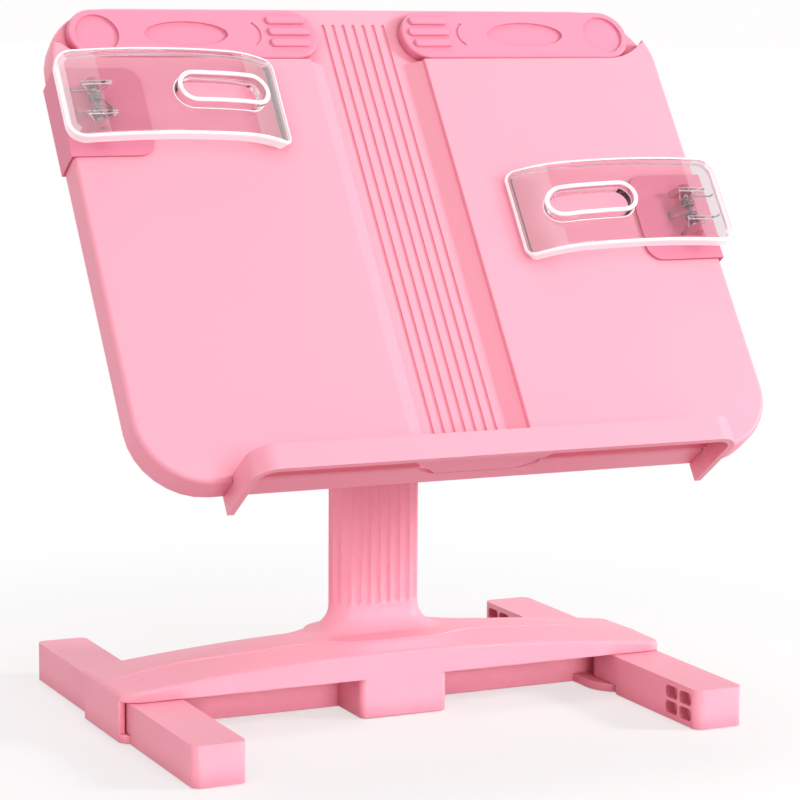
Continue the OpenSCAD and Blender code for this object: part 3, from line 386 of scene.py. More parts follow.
def moulded_grain():
    """Fine mould texture: gentle colour drift, satin roughness and a spark-eroded skin."""
    found = bpy.data.node_groups.get("Moulded grain")
    if found:
        return found
    group, given = group_of(
        "Moulded grain",
        [("Color", COLOUR, (0.9, 0.4, 0.55, 1)), ("Shade", COLOUR, (0.8, 0.3, 0.45, 1)),
         ("Drift", VALUE, 0.12), ("Grain", VALUE, 1800.0),
         ("Roughness", VALUE, 0.4), ("Spread", VALUE, 0.08)],
        [("Color", COLOUR), ("Roughness", VALUE), ("Height", VALUE)])
    where = node_in(group, "ShaderNodeTexCoord").outputs["Object"]
    drift = value_of(group, "MULTIPLY", noise(group, where, 9.0, 4.0, 0.55), given["Drift"])
    rub = value_of(group, "SUBTRACT", noise(group, where, 45.0, 5.0, 0.62), 0.5)
    node_in(group, "NodeGroupOutput", {
        "Color": mixed(group, drift, given["Color"], given["Shade"]),
        "Roughness": value_of(group, "MULTIPLY_ADD", rub, given["Spread"], given["Roughness"]),
        "Height": noise(group, where, given["Grain"], 2.0)})
    return group


def painted_crevice_shade():
    """Paints shade into a colour: deepens it in crevices and corners by ambient occlusion, as light
    between two pink walls would.
    """
    found = bpy.data.node_groups.get("Crevice tone")
    if found:
        return found
    group, given = group_of(
        "Crevice tone",
        [("Color", COLOUR, (0.9, 0.4, 0.55, 1)), ("Deep", COLOUR, (0.6, 0.12, 0.2, 1)),
         ("Reach", VALUE, 0.01), ("Amount", VALUE, 0.8)],
        [("Color", COLOUR)])
    open_sky = node_in(group, "ShaderNodeAmbientOcclusion", {"Distance": given["Reach"]}, samples=6)
    hidden = value_of(group, "SUBTRACT", 1.0, open_sky.outputs["AO"])
    amount = value_of(group, "MULTIPLY", hidden, given["Amount"])
    node_in(group, "NodeGroupOutput", {"Color": mixed(group, amount, given["Color"], given["Deep"])})
    return group


def brushed_metal():
    """Drawn or brushed metal: fine lines along z, with dull patches."""
    found = bpy.data.node_groups.get("Brushed metal")
    if found:
        return found
    group, given = group_of(
        "Brushed metal",
        [("Color", COLOUR, (0.6, 0.6, 0.62, 1)), ("Roughness", VALUE, 0.3), ("Lines", VALUE, 900.0)],
        [("Color", COLOUR), ("Roughness", VALUE), ("Height", VALUE)])
    where = node_in(group, "ShaderNodeTexCoord").outputs["Object"]
    drawn = node_in(group, "ShaderNodeMapping", {"Vector": where, "Scale": (1, 1, 0.04)}).outputs[0]
    lines = noise(group, drawn, given["Lines"], 3.0)
    patches = noise(group, where, 60.0, 4.0)
    dull = node_in(group, "ShaderNodeHueSaturation", {"Color": given["Color"], "Value": 0.82})
    node_in(group, "NodeGroupOutput", {
        "Color": mixed(group, patches, given["Color"], dull.outputs[0]),
        "Roughness": value_of(group, "MULTIPLY_ADD", lines, 0.2, given["Roughness"]),
        "Height": lines})
    return group


def new_material(name):
    """A material with its Principled shader."""
    material = bpy.data.materials.new(name)
    material.use_nodes = True
    tree = material.node_tree
    return material, tree, tree.nodes["Principled BSDF"]


def set_inputs(shader, values):
    """Sets inputs of a shader by their names."""
    for key, value in values.items():
        shader.inputs[key].default_value = value


def dressed(tree, shader, group, skin_share, values):
    """Places a finish group in a material with its own values, and links it to the shader."""
    finish = node_in(tree, "ShaderNodeGroup", values, node_tree=group)
    bump = node_in(tree, "ShaderNodeBump", {
        "Height": finish.outputs["Height"], "Strength": skin_share, "Distance": SKIN_DEPTH})
    tree.links.new(finish.outputs["Color"], shader.inputs["Base Color"])
    tree.links.new(finish.outputs["Roughness"], shader.inputs["Roughness"])
    tree.links.new(bump.outputs[0], shader.inputs["Normal"])
    return finish


def show_mixed(tree, share, first, second):
    """Shows a mix of two shaders."""
    mix = node_in(tree, "ShaderNodeMixShader", {0: share, 1: first, 2: second})
    tree.links.new(mix.outputs[0], tree.nodes["Material Output"].inputs["Surface"])


def colour_of(finish):
    """The colour that is set for a finish."""
    return tuple(getattr(bpy.context.scene.stand_colours, finish))


def tinted(colour, red, green, blue):
    """A colour with its parts scaled."""
    return (colour[0] * red, colour[1] * green, colour[2] * blue, 1)


def grained(name, colour, roughness, drift=0.14, grain=1800.0, skin_share=0.12):
    """Moulded plastic or rubber of one colour, with shade painted into its crevices and corners."""
    found = bpy.data.materials.get(name)
    if found:
        return found
    material, tree, shader = new_material(name)
    finish = dressed(tree, shader, moulded_grain(), skin_share, {
        "Color": colour, "Shade": tinted(colour, 0.86, 0.86, 0.86), "Drift": drift, "Grain": grain,
        "Roughness": roughness})
    # Painted shade: the colour deepens toward a darker tint where ambient occlusion finds crevices and
    # corners.
    crevice = node_in(tree, "ShaderNodeGroup", node_tree=painted_crevice_shade(), links={
        "Color": finish.outputs["Color"], "Deep": tinted(colour, 0.66, 0.28, 0.34)})
    tree.links.new(crevice.outputs["Color"], shader.inputs["Base Color"])
    shader.inputs["Specular IOR Level"].default_value = 0.3
    material.diffuse_color = colour
    return material


def pink_plastic():
    """The board, ledge, column, beam and legs."""
    return grained("Pink plastic", colour_of("pink"), 0.42)


def deep_plastic():
    """The page arms, hinge parts and dials."""
    return grained("Deep pink plastic", colour_of("deep"), 0.4)


def carriage_plastic():
    """The clip carriages, a little deeper still."""
    return grained("Carriage plastic", tinted(colour_of("deep"), 0.95, 0.84, 0.86), 0.4)


def painted_hollow_shade():
    """Pink darkened to paint the shade in the hollow under the ledge's shelf."""
    return grained("Hollow plastic", tinted(colour_of("pink"), 0.85, 0.4, 0.48), 0.5)


def pad_rubber():
    """The foot pads."""
    return grained("Pad rubber", colour_of("rubber"), 0.78, 0.3, 700.0, 0.35)


def stand_steel():
    """The springs, pins, screws and mast."""
    found = bpy.data.materials.get("Drawn steel")
    if found:
        return found
    material, tree, shader = new_material("Drawn steel")
    colour = colour_of("steel")
    dressed(tree, shader, brushed_metal(), 0.08, {"Color": colour, "Roughness": 0.2})
    shader.inputs["Metallic"].default_value = 1.0
    material.diffuse_color = colour
    return material


def clear_plastic(name="Clear plastic", with_painted_sheen=False):
    """Clear polished plastic with handling marks. With the painted sheen, a coat lies over its ends
    only, painting the reflections where the arched plate mirrors the surround.
    """
    found = bpy.data.materials.get(name)
    if found:
        return found
    material, tree, shader = new_material(name)
    # The tint paints the clip's shade onto what is seen through it, since its own shadow is let through
    # by light_shadow.
    colour = colour_of("clear")
    dressed(tree, shader, moulded_grain(), 0.015, {
        "Color": colour, "Shade": tinted(colour, 0.96, 0.96, 0.96), "Drift": 0.2, "Grain": 260.0,
        "Roughness": 0.03, "Spread": 0.05})
    set_inputs(shader, {"Transmission Weight": 1.0, "IOR": CLEAR_IOR})
    if with_painted_sheen:
        # Painted reflection: the coat lies only over the clip's two ends.
        tree.links.new(painted_end_sheen(tree), shader.inputs["Coat Weight"])
        set_inputs(shader, {"Coat IOR": 2.4, "Coat Roughness": 0.08})
    light_shadow(tree, shader, CLEAR_SHADOW)
    material.diffuse_color = (*colour[:3], 0.4)
    return material


def painted_end_sheen(tree):
    """A mask for the painted end sheen: high over the two ends of a clip and nothing between them."""
    clips, end_w, fade_w, most = in_mm(bpy.context.scene.stand_clips), 20.0, 0.8, 0.9
    half, middle = clips.length / 2 - end_w, clips.end_u - clips.length / 2
    spot = node_in(tree, "ShaderNodeTexCoord").outputs["Object"]
    across = node_in(tree, "ShaderNodeSeparateXYZ", {0: spot}).outputs["X"]
    away = value_of(tree, "SUBTRACT", value_of(tree, "ABSOLUTE", across), middle * MM)
    return node_in(tree, "ShaderNodeMapRange", {
        "Value": value_of(tree, "ABSOLUTE", away), "From Min": half * MM,
        "From Max": (half + fade_w) * MM, "To Max": most}).outputs[0]


def light_shadow(tree, shader, tint):
    """Lets light through clear plastic on its way to the board, so that the shadow is light."""
    path = node_in(tree, "ShaderNodeLightPath").outputs
    lighting = value_of(tree, "MAXIMUM", path["Is Shadow Ray"], path["Is Diffuse Ray"])
    through = node_in(tree, "ShaderNodeBsdfTransparent", {"Color": tint})
    show_mixed(tree, lighting, shader.outputs[0], through.outputs[0])


def clear_edge(name, colour, shade, roughness, through, tint, glow=0.0):
    """Clear plastic at its edges, where it lets only a share of the view through. A glow paints light
    on it as an emission.
    """
    found = bpy.data.materials.get(name)
    if found:
        return found
    material, tree, shader = new_material(name)
    dressed(tree, shader, moulded_grain(), 0.03, {
        "Color": colour, "Shade": shade, "Drift": 0.3, "Grain": 900.0, "Roughness": roughness,
        "Spread": 0.08})
    # Painted light: the emission makes the edge glow though it is no lamp.
    set_inputs(shader, {"Transmission Weight": through, "IOR": CLEAR_IOR,
                        "Emission Color": (1, 1, 1, 1), "Emission Strength": glow})
    light_shadow(tree, shader, tint)
    material.diffuse_color = (*colour[:3], 0.6)
    return material


def frosted_edge():
    """Frosted edges, with a painted glow (a weak emission) for the light led along the plastic that
    comes out of them.
    """
    return clear_edge("Frosted edge", FROST, FROST_SHADE, 0.22, 0.25, (0.8, 0.77, 0.78, 1), 0.15)


def painted_bright_rim():
    """The rim of the plate at a clip's outer end, made partly matt and white to paint the brightness of
    the thick edge below it.
    """
    return clear_edge("Milky rim", FROST, FROST_SHADE, 0.15, 0.62, (0.9, 0.88, 0.89, 1))


def painted_dark_refraction():
    """The inner wall at a clip's tip, painted dark for the dark behind it that the clear plastic
    refracts into view.
    """
    return clear_edge("Dark edge", (0.05, 0.07, 0.065, 1), (0.2, 0.2, 0.2, 1), 0.08, 0.3, CLEAR_SHADOW)


class BOOKSTAND_OT_board(bpy.types.Operator):
    """Moulds the board's front shell with its page faces, grooved channel and arm recess"""

    bl_idname = "book_stand.board"
    bl_label = "Board"

    def execute(self, context):
        board = in_mm(context.scene.stand_board)
        bm = bmesh.new()
        self.tray(bm, board)
        for side in (1, -1):
            self.page_face(bm, board, side)
        piece = finish_mesh(bm, "board_shell", board_matrix(board))
        place(piece, "board", pink_plastic(), "board_panel")
        cover = softened("back_cover", 0.2)
        place(cover, "board", pink_plastic(), "back_cover")
        return {"FINISHED"}

    def outline(self, board):
        """Outline of the whole board."""
        x = board.width / 2
        y, low, top = board.height, board.low_r, board.top_r
        return (arc(x - top, y - top, top, 0, 90, 24) + arc(top - x, y - top, top, 90, 180, 24)
                + arc(low - x, low, low, 180, 270, 24) + arc(x - low, low, low, 270, 360, 24))

    def tray(self, bm, board):
        """The lower half of the moulding, open at the back, with the channel floor and the recess."""
        edge_r, bore_r, groove_deep, groove_lip, groove_r = 1.0, 5.1, 0.8, 0.35, 0.3
        outline = self.outline(board)
        top_share = [1.0 if y > board.recess_v + 8 else 0.0 for x, y in outline]
        floor, under = -board.depth, -board.depth - board.wall
        outer = [ring(bm, outline, -board.back)]
        outer += [ring(bm, inset(outline, scaled(top_share, i)), floor - d) for i, d in rounded(edge_r)]
        skins(bm, outer)
        inner = inset(outline, board.wall)
        lip, roof = ring(bm, inner, -board.back), ring(bm, inner, under)
        cap(bm, outer[0], [lip])
        skin(bm, roof, lip)
        bores = [circle(s * board.arm_pivot, board.arm_v, bore_r, 24) for s in (1, -1)]
        high, low = [ring(bm, b, floor) for b in bores], [ring(bm, b, under) for b in bores]
        for a, b in zip(low, high):
            skin(bm, b, a)
        cap(bm, roof, low)
        groove = capsule(board.height - 13, board.groove_w)
        grooves = []
        for i in range(-3, 4):
            turned = [(i * board.groove_pitch - y, x + (board.height - 5) / 2) for x, y in groove]
            grooves.append(dish(bm, turned, floor, groove_deep, groove_lip, groove_r))
        cap(bm, outer[-1], high + grooves)

    def page_face(self, bm, board, side):
        """A page face: a slab from the channel to the board's edge, with a shoulder round the arm."""
        x, y = board.width / 2, board.height
        edge, foot = board.channel_w / 2, board.floor_w / 2
        centre = (board.arm_pivot - 2.6, board.recess_v + board.shoulder_r)
        corner = arc(x - board.top_r, y - board.top_r, board.top_r, 0, 90, 48)
        kept = [p for p in corner if math.dist(p, centre) > board.shoulder_r]
        tip = math.degrees(math.atan2(kept[-1][1] - centre[1], kept[-1][0] - centre[0]))
        shoulder = arc(*centre, board.shoulder_r - 0.3, tip - 1, -90, 20)
        low = arc(x - board.low_r, board.low_r, board.low_r, 270, 360, 24)
        outside = low + kept + shoulder
        top = [(edge, 0.0)] + outside + [(edge, board.recess_v)]
        bottom = [(foot, 0.0)] + outside + [(foot, board.recess_v)]
        # Shares of the rounding: by the channel, round the outside, along the shoulder, by the recess.
        share = [0.35] + [1.0] * (len(low) + len(kept)) + [0.3] * len(shoulder) + [0.2]
        if side < 0:
            top, bottom, share = mirrored(top), mirrored(bottom), list(reversed(share))
        moulding(bm, top, -board.depth, 0, board.edge_r, 0, share=share, low_outline=bottom)


class BOOKSTAND_OT_arms(bpy.types.Operator):
    """Moulds the two swing-out page arms with their dimples and grip bars"""

    bl_idname = "book_stand.arms"
    bl_label = "Page arms"

    def execute(self, context):
        board = in_mm(context.scene.stand_board)
        for side, name in ((1, "right"), (-1, "left")):
            bm = bmesh.new()
            self.arm(bm, board)
            piece = finish_mesh(bm, f"page_arm_{name}", board_matrix(board) @ side_matrix(side))
            place(piece, f"arm_{name}", deep_plastic(), f"arm_{name}")
        return {"FINISHED"}

    def arm(self, bm, board):
        """An arm drawn for the right side."""
        thick, soft, dimple_r, stub_r = 5.0, 1.2, 10.6, 5.0
        oval_in, oval_long, oval_high = 44.4, 21, 7
        mark_in, mark_r, mark_w = 37.4, 8.0, 1.2
        bar_in, bar_w, bar_pitch, bar_rise = 25.8, 4.4, 6.5, 1.4
        pivot, tip, mid = board.arm_pivot, board.arm_tip, board.arm_v
        low = -board.depth + 0.2
        high = low + thick
        length = pivot + board.arm_w / 2 - tip
        outline = capsule(length, board.arm_w, tip + length / 2, mid)
        oval = [(pivot - oval_in + oval_long * x, mid + oval_high * y) for x, y in circle(0, 0, 1, 60)]
        mark = (arc(tip + mark_in, mid, mark_r, 123, 237)
                + arc(tip + mark_in, mid, mark_r - mark_w, 237, 123))
        holes = [dish(bm, circle(pivot, mid, dimple_r, 48), high, 1.2, 0.35, 0.3),
                 dish(bm, oval, high, 1.3, 0.35, 0.4), dish(bm, mark, high, 0.6, 0.2, 0.25)]
        moulding(bm, outline, low, high, soft, 0.4, holes)
        for i, bar_len in ((-1, 20.6), (0, 22.4), (1, 20.6)):
            bar = capsule(bar_len, bar_w, tip + bar_in - bar_len / 2, mid + 1 + i * bar_pitch)
            moulding(bm, bar, high - 0.6, high + bar_rise, soft, 0)
        moulding(bm, circle(pivot, mid, stub_r, 48), low - 2.6, low + 1, 0, 0.3)


# Places of a clip's finishes in its list of materials, and the depth of its plate's underside.
CLEAR, FROSTED, PAINTED_DARK, PAINTED_RIM, PAINTED_SHEEN = range(5)
CLIP_UNDER = 3.0


class BOOKSTAND_OT_clips(bpy.types.Operator):
    """Makes the clear page clips, their carriages and springs"""

    bl_idname = "book_stand.clips"
    bl_label = "Page clips"

    def execute(self, context):
        board, clips = in_mm(context.scene.stand_board), in_mm(context.scene.stand_clips)
        for side, name, mid in ((1, "right", clips.right_v), (-1, "left", clips.left_v)):
            matrix = board_matrix(board) @ Matrix.Translation((0, mid, 0)) @ side_matrix(side)
            bm = bmesh.new()
            self.plate(bm, clips)
            for s in (-1, 1):
                self.ear(bm, clips, s)
            clip = finish_mesh(bm, f"clear_clip_{name}", matrix)
            place(clip, f"clip_{name}", clear_plastic(), f"clip_{name}")
            for finish in (frosted_edge(), painted_dark_refraction(), painted_bright_rim(),
                           clear_plastic("Clear plastic face", True)):
                clip.data.materials.append(finish)
            carriage = softened(f"carriage_{name}", 0.15)
            place(carriage, f"carriage_{name}", carriage_plastic(),
                  f"carriage_{name}")
            self.spring(clips, matrix, name)
        return {"FINISHED"}

    def arch(self, clips, x, depth):
        """A point of the arched section at x, a depth below its top."""
        big, small, flat = 330.0, 64.0, 38
        top_u = clips.end_u - clips.arch_back
        r, cx, cz = big, top_u, clips.arch_n - big
        if x < top_u - flat:
            turn = math.asin(flat / big)
            r, cx, cz = small, cx - (big - small) * math.sin(turn), cz + (big - small) * math.cos(turn)
        angle = math.asin(max(-0.99, (x - cx) / r))
        return cx + (r - depth) * math.sin(angle), cz + (r - depth) * math.cos(angle)

    def outline(self, clips):
        """Outline of a clip, with smaller corners at its inner end."""
        tip, top = clips.end_u - clips.length, clips.width / 2
        r, t = clips.corner, clips.tip_corner
        return [(x, y + clips.lift) for x, y in (
            arc(clips.end_u - r, top - r, r, 0, 90) + arc(tip + t, top - t, t, 90, 180)
            + arc(tip + t, t - top, t, 180, 270) + arc(clips.end_u - r, r - top, r, 270, 360))]

    def paint(self, bm, drawn, choose):
        """Gives faces made since the drawn ones a finish, chosen by their middles. Gives all faces."""
        for made in set(bm.faces) - drawn:
            made.material_index = choose(made.calc_center_median())
        return set(bm.faces)

    def plate(self, bm, clips):
        """The arched plate with a skirt round it and a collar round the finger hole."""
        tip, upper = clips.end_u - clips.length, clips.lift + clips.width / 2 - 0.5
        face, under, wall_z, tip_w, rim_w = 0.4, CLIP_UNDER, -1.6, 3.2, 6
        foot, brim, lowest = face + clips.skirt, face - clips.collar, 0.4
        cuts, step = 56, 2.0
        outer = self.outline(clips)
        hole = capsule(clips.finger_len, clips.finger_w, tip + clips.finger_in,
                       clips.lift - clips.finger_drop)
        # Rows of inset and depth: round the outside, round the hole, and inside the skirt.
        edge = [(1.8, foot), (0.4, foot), (0.1, foot - 0.1), (0, foot - 0.4), (0, face + 1.0),
                (0.08, face + 0.55), (0.4, face + 0.15), (0.9, face), (1.4, face), (4.6, face)]
        collar = [(-2.8, face), (-2.35, face - 0.15), (-2.2, face - 0.6), (-2.2, brim + 0.6),
                  (-2.05, brim + 0.15), (-1.6, brim), (-0.6, brim), (-0.15, brim + 0.15),
                  (0, brim + 0.6), (0, under - 0.5), (-0.15, under - 0.15), (-0.5, under)]
        inner = [(3.0, under), (2.4, under + 0.2), (2.2, under + 0.8), (2.2, foot - 0.3),
                 (2.1, foot - 0.08), (1.8, foot)]
        outside = [ring(bm, inset(outer, i), -d) for i, d in edge]
        inside = [ring(bm, inset(hole, i), -d) for i, d in collar]
        below = [ring(bm, inset(outer, i), -d) for i, d in inner]
        skins(bm, outside[2:-1])
        skins_in(bm, inside[:2])
        skins_in(bm, inside[3:9])
        # Frosted faces here carry the painted glow as well as their frost.
        self.paint(bm, set(), lambda at: CLEAR if at.y > upper and at.z < wall_z else FROSTED)
        skins(bm, outside[:3])
        skins_in(bm, inside[1:4])
        skins_in(bm, inside[8:])
        drawn = set(bm.faces)
        skins(bm, below)
        # The tip's wall gets the painted dark refraction.
        drawn = self.paint(bm, drawn, lambda at: PAINTED_DARK if at.x < tip + tip_w else CLEAR)
        # The outer end's rim gets the painted bright rim.
        skins(bm, outside[-2:])
        drawn = self.paint(bm, drawn, lambda at: PAINTED_RIM if at.x > clips.end_u - rim_w else PAINTED_SHEEN)
        cap(bm, outside[-1], [inside[0]])
        # The plate's top face gets the painted end sheen.
        self.paint(bm, drawn, lambda at: PAINTED_SHEEN)
        cap(bm, below[0], [inside[-1]])
        for i in range(1, cuts + 1):
            geom = bm.verts[:] + bm.edges[:] + bm.faces[:]
            bmesh.ops.bisect_plane(bm, geom=geom, dist=1e-4, plane_co=(tip + i * step, 0, 0),
                                   plane_no=(1, 0, 0))
        for v in bm.verts:
            x, z = self.arch(clips, v.co.x, -v.co.z)
            v.co = (x, v.co.y, max(lowest, z))

    def ear(self, bm, clips, s):
        """A hinge ear under the plate, along the pin."""
        ear_r, bore_r, start, thick, soft = 3.2, 1.36, 7, 2.0, 0.3
        top = self.arch(clips, clips.pin_u, CLIP_UNDER)[1]
        side = arc(clips.pin_u, clips.pin_n, ear_r, 180, 360, 16)
        side += [(clips.pin_u + 8, top + 0.3), (clips.pin_u - 7, top + 0.6)]
        hole = circle(clips.pin_u, clips.pin_n, bore_r, 24)
        rows = [(soft, 0.0), (0.0, soft), (0.0, thick - soft), (soft, thick)]
        rings = [[bm.verts.new((x, s * (start + t), z)) for x, z in inset(side, i)] for i, t in rows]
        bore = [[bm.verts.new((x, s * (start + t), z)) for x, z in hole] for t in (0.0, thick)]
        drawn = set(bm.faces)
        skins(bm, rings[:2])
        skins(bm, rings[2:])
        self.paint(bm, drawn, lambda at: FROSTED)
        skin(bm, rings[1], rings[2])
        skin(bm, bore[1], bore[0])
        cap(bm, rings[0], [bore[0]])
        cap(bm, rings[-1], [bore[1]])

    def spring_path(self, clips):
        """Centre line of the double torsion spring about its pin: x out, y along the pin, z up."""
        r, turns, pitch, first, reach = 2.6, 3, 1.3, 1.9, 11.5
        floor_n, gap, steps, whole = 1.2, 0.2, 72, 360 * turns + 45
        end = first + turns * pitch
        foot_z = floor_n + clips.wire_d / 2 + gap - clips.pin_n
        tip = self.arch(clips, clips.pin_u + reach + 1, CLIP_UNDER)[1] - clips.pin_n - 0.1
        half = [(reach + 1, end, tip), (reach + 1, end, r + 1.0), (reach + 0.93, end, r + 0.6),
                (reach + 0.7, end, r + 0.27), (reach + 0.4, end, r + 0.08), (reach, end, r)]
        half += [(reach * (1 - k / 4), end, r) for k in (1, 2, 3)]
        for i in range(steps + 1):
            a = math.radians(90 + whole * i / steps)
            half.append((r * math.cos(a), end - (end - first) * i / steps, r * math.sin(a)))
        lx, _, lz = half[-1]
        run = lz - foot_z
        half += [(lx - run * k, first, lz - run * k) for k in (0.3, 0.6, 0.85)]
        half += [(lx - run + 0.25, first, foot_z + 0.25), (lx - run, first - 0.3, foot_z),
                 (lx - run, first - 0.9, foot_z)]
        return half + [(x, -y, z) for x, y, z in reversed(half)]

    def spring(self, clips, matrix, name):
        """A wire of round section along the spring's centre line."""
        path = [Vector(p) for p in self.spring_path(clips)]
        bm = bmesh.new()
        normal = Vector((0, 1, 0))
        rings = []
        for i, p in enumerate(path):
            along = (path[min(i + 1, len(path) - 1)] - path[max(i - 1, 0)]).normalized()
            normal = (normal - normal.dot(along) * along).normalized()
            other = along.cross(normal)
            rings.append([bm.verts.new(p + x * normal + y * other)
                          for x, y in circle(0, 0, clips.wire_d / 2, 10)])
        skins(bm, rings)
        cap(bm, list(reversed(rings[0])))
        cap(bm, rings[-1])
        pin = Matrix.Translation((clips.pin_u, 0, clips.pin_n))
        piece = finish_mesh(bm, f"spring_wire_{name}", matrix @ pin)
        piece.data.materials.append(stand_steel())
        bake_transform(piece)
        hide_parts(f"clip_spring_{name}")


class BOOKSTAND_OT_base(bpy.types.Operator):
    """Moulds the arched beam with its block, web, end walls and lugs, and the fluted column"""

    bl_idname = "book_stand.base"
    bl_label = "Beam and column"

    def execute(self, context):
        base = in_mm(context.scene.stand_base)
        bm = bmesh.new()
        self.deck(bm, base)
        self.underside(bm, base)
        beam = finish_mesh(bm, "beam_shell")
        place(beam, "base", pink_plastic(), "base_beam")
        bm = bmesh.new()
        self.column(bm, base)
        column = finish_mesh(bm, "fluted_column", smooth=30)
        place(column, "base", pink_plastic(), "column")
        return {"FINISHED"}

    def section(self, base, x):
        """The closed section of the deck at x, from the front bottom edge over the top to the back."""
        front, back = self.side(base, x, base.end_r), self.side(base, x, base.back_r)
        middle = (x, 0.0, front[-1][1] + 0.05)
        return [(x, -y, z) for y, z in front] + [middle] + [(x, y, z) for y, z in reversed(back)]

    def side(self, base, x, corner):
        """One half of the section at x, from the bottom edge to the crown, for one corner radius."""
        lip_r, least_rise = 2.0, 0.5
        over = max(0.0, abs(x) - (base.length / 2 - corner))
        half = base.depth / 2 - corner + math.sqrt(max(0.0, corner ** 2 - over ** 2))
        lip = max(0.0, abs(x) - (base.length / 2 - lip_r))
        edge = (base.edge_z - x * x / (2 * base.arch_r)
                - (lip_r - math.sqrt(max(0.0, lip_r ** 2 - lip ** 2))))
        crest = edge + least_rise + (base.crown - least_rise) * (1 - (2 * x / base.length) ** 2)
        # The crown narrows towards the ends and spreads round the column.
        crown = 11.5 * (1 - (x / 110) ** 4) + 13.5 * math.exp(-(x / 34) ** 4)
        crown = min(max(2.5, crown), half - 5)
        near = [(half, base.deck_z), (half, edge - 1.9), (half - 0.12, edge - 1.2),
                (half - 0.45, edge - 0.55), (half - 1.0, edge - 0.14), (half - 1.8, edge)]
        drop = 0.2 * (crest - edge)
        far = [(crown + 1.2, crest - 1.1 * drop), (crown + 0.5, crest - drop),
               (crown + 0.1, crest - 0.7 * drop), (crown - 0.3, crest - 0.25 * drop),
               (crown - 0.8, crest), (crown * 0.5, crest + 0.05)]
        return near + far

    def deck(self, bm, base):
        """The arched deck, drawn through close sections."""
        inner = base.length / 2 - base.end_r
        ends = [inner + base.end_r * math.sin(math.radians(a)) for a in range(6, 90, 6)]
        ends.append(base.length / 2 - 0.02)
        stations = [-x for x in reversed(ends)] + [inner * (i / 40 - 1) for i in range(81)] + ends
        rings = [[bm.verts.new(p) for p in self.section(base, x)] for x in stations]
        skins(bm, rings)
        cap(bm, rings[0])
        cap(bm, rings[-1])

    def underside(self, bm, base):
        """Block, web, end walls and lugs under the deck."""
        foot, top = base.foot_z, base.deck_z + 1
        block_w, web_w, wall_w, wall_d = 46, 3.7, 3.6, 50
        lug_x, lug_y, lug_r, lug_h = 127.45, 15, 19.5, 4.2
        moulding(bm, round_box(block_w, base.depth - 0.2, 4), foot, top, 0, 1.0)
        moulding(bm, round_box(base.length - 4, web_w, 0.6), foot, top, 0, 0.6)
        lug = arc(lug_x, lug_y, lug_r, 0, 180, 36) + arc(lug_x, -lug_y, lug_r, 180, 360, 36)
        lug = [(min(x, base.length / 2 - 0.1), y) for x, y in lug]
        for s in (-1, 1):
            wall = round_box(wall_w, wall_d, 1.2, s * (base.length - wall_w) / 2)
            moulding(bm, wall, foot, top, 0, 0.6)
            moulding(bm, lug if s > 0 else mirrored(lug), foot, foot + lug_h, 0.5, 0.5)

    def flute(self, across, below):
        """Depth of a round-nosed flute, across from its middle and below its round end."""
        half, depth = 2.35, 0.95
        r = (half * half + depth * depth) / (2 * depth)
        away = math.hypot(across, max(0.0, below))
        return math.sqrt(r * r - away * away) - r + depth if away < half else 0.0

    def lap(self, base, radius, below=99.0):
        """The column's outline at a radius of its ends, cut by the flutes so far below their ends."""
        c, r = base.column_c, base.column_r
        whole = 4 * c + math.tau * r
        pitch = whole / base.flutes
        count = base.flutes * 20
        points = []
        for i in range(count):
            s = whole * i / count
            radial = radius - self.flute(s % pitch - pitch / 2, below)
            if s < c:
                x, a = s, -90.0
            elif s < c + math.pi * r:
                x, a = c, -90 + math.degrees((s - c) / r)
            elif s < 3 * c + math.pi * r:
                x, a = 2 * c + math.pi * r - s, 90.0
            elif s < 3 * c + math.tau * r:
                x, a = -c, 90 + math.degrees((s - 3 * c - math.pi * r) / r)
            else:
                x, a = s - whole, -90.0
            a = math.radians(a)
            points.append((x + radial * math.cos(a), base.column_y + radial * math.sin(a)))
        return points

    def column(self, bm, base):
        """The fluted column with its flared foot, hollow for the mast."""
        r, foot_top = base.column_r, base.seat_z + 3.7
        low, high, fine = 52.0, base.column_top - 12, 0.2
        bush_r, bore_r, bush_z, bore_z = 7.64, 6.5, base.column_top - 10, 40.2
        boss_r, boss_deep, dial_z = 8.5, 8.0, 148
        rows = [(r + base.flare_r, base.seat_z), (r + base.flare_r, foot_top - 0.4)]
        rows += [(r + drop, foot_top + step) for step, drop in rounded(base.flare_r, 12)[1:]]
        rows += [(r, low - 2.4 + fine * k) for k in range(13)]
        rows += [(r, low + (high - low) * k / 4) for k in range(1, 5)]
        rows += [(r, high + fine * k) for k in range(1, 13)] + [(r, base.column_top)]
        outside = [ring(bm, self.lap(base, radius, max(low - z, z - high)), z) for radius, z in rows]
        bore = [(bush_r, base.column_top), (bush_r, bush_z), (bore_r, bush_z), (bore_r, bore_z)]
        inside = [ring(bm, self.lap(base, radius), z) for radius, z in bore]
        skins(bm, outside + inside)
        cap(bm, list(reversed(outside[0])))
        cap(bm, inside[-1])
        drawn = set(bm.verts)
        moulding(bm, circle(0, 0, boss_r, 60), 0, boss_deep, 0.8, 0)
        turn = (Matrix.Translation((0, base.column_y + r - 1, dial_z))
                @ Matrix.Rotation(math.radians(-90), 4, "X"))
        bmesh.ops.transform(bm, matrix=turn, verts=list(set(bm.verts) - drawn))


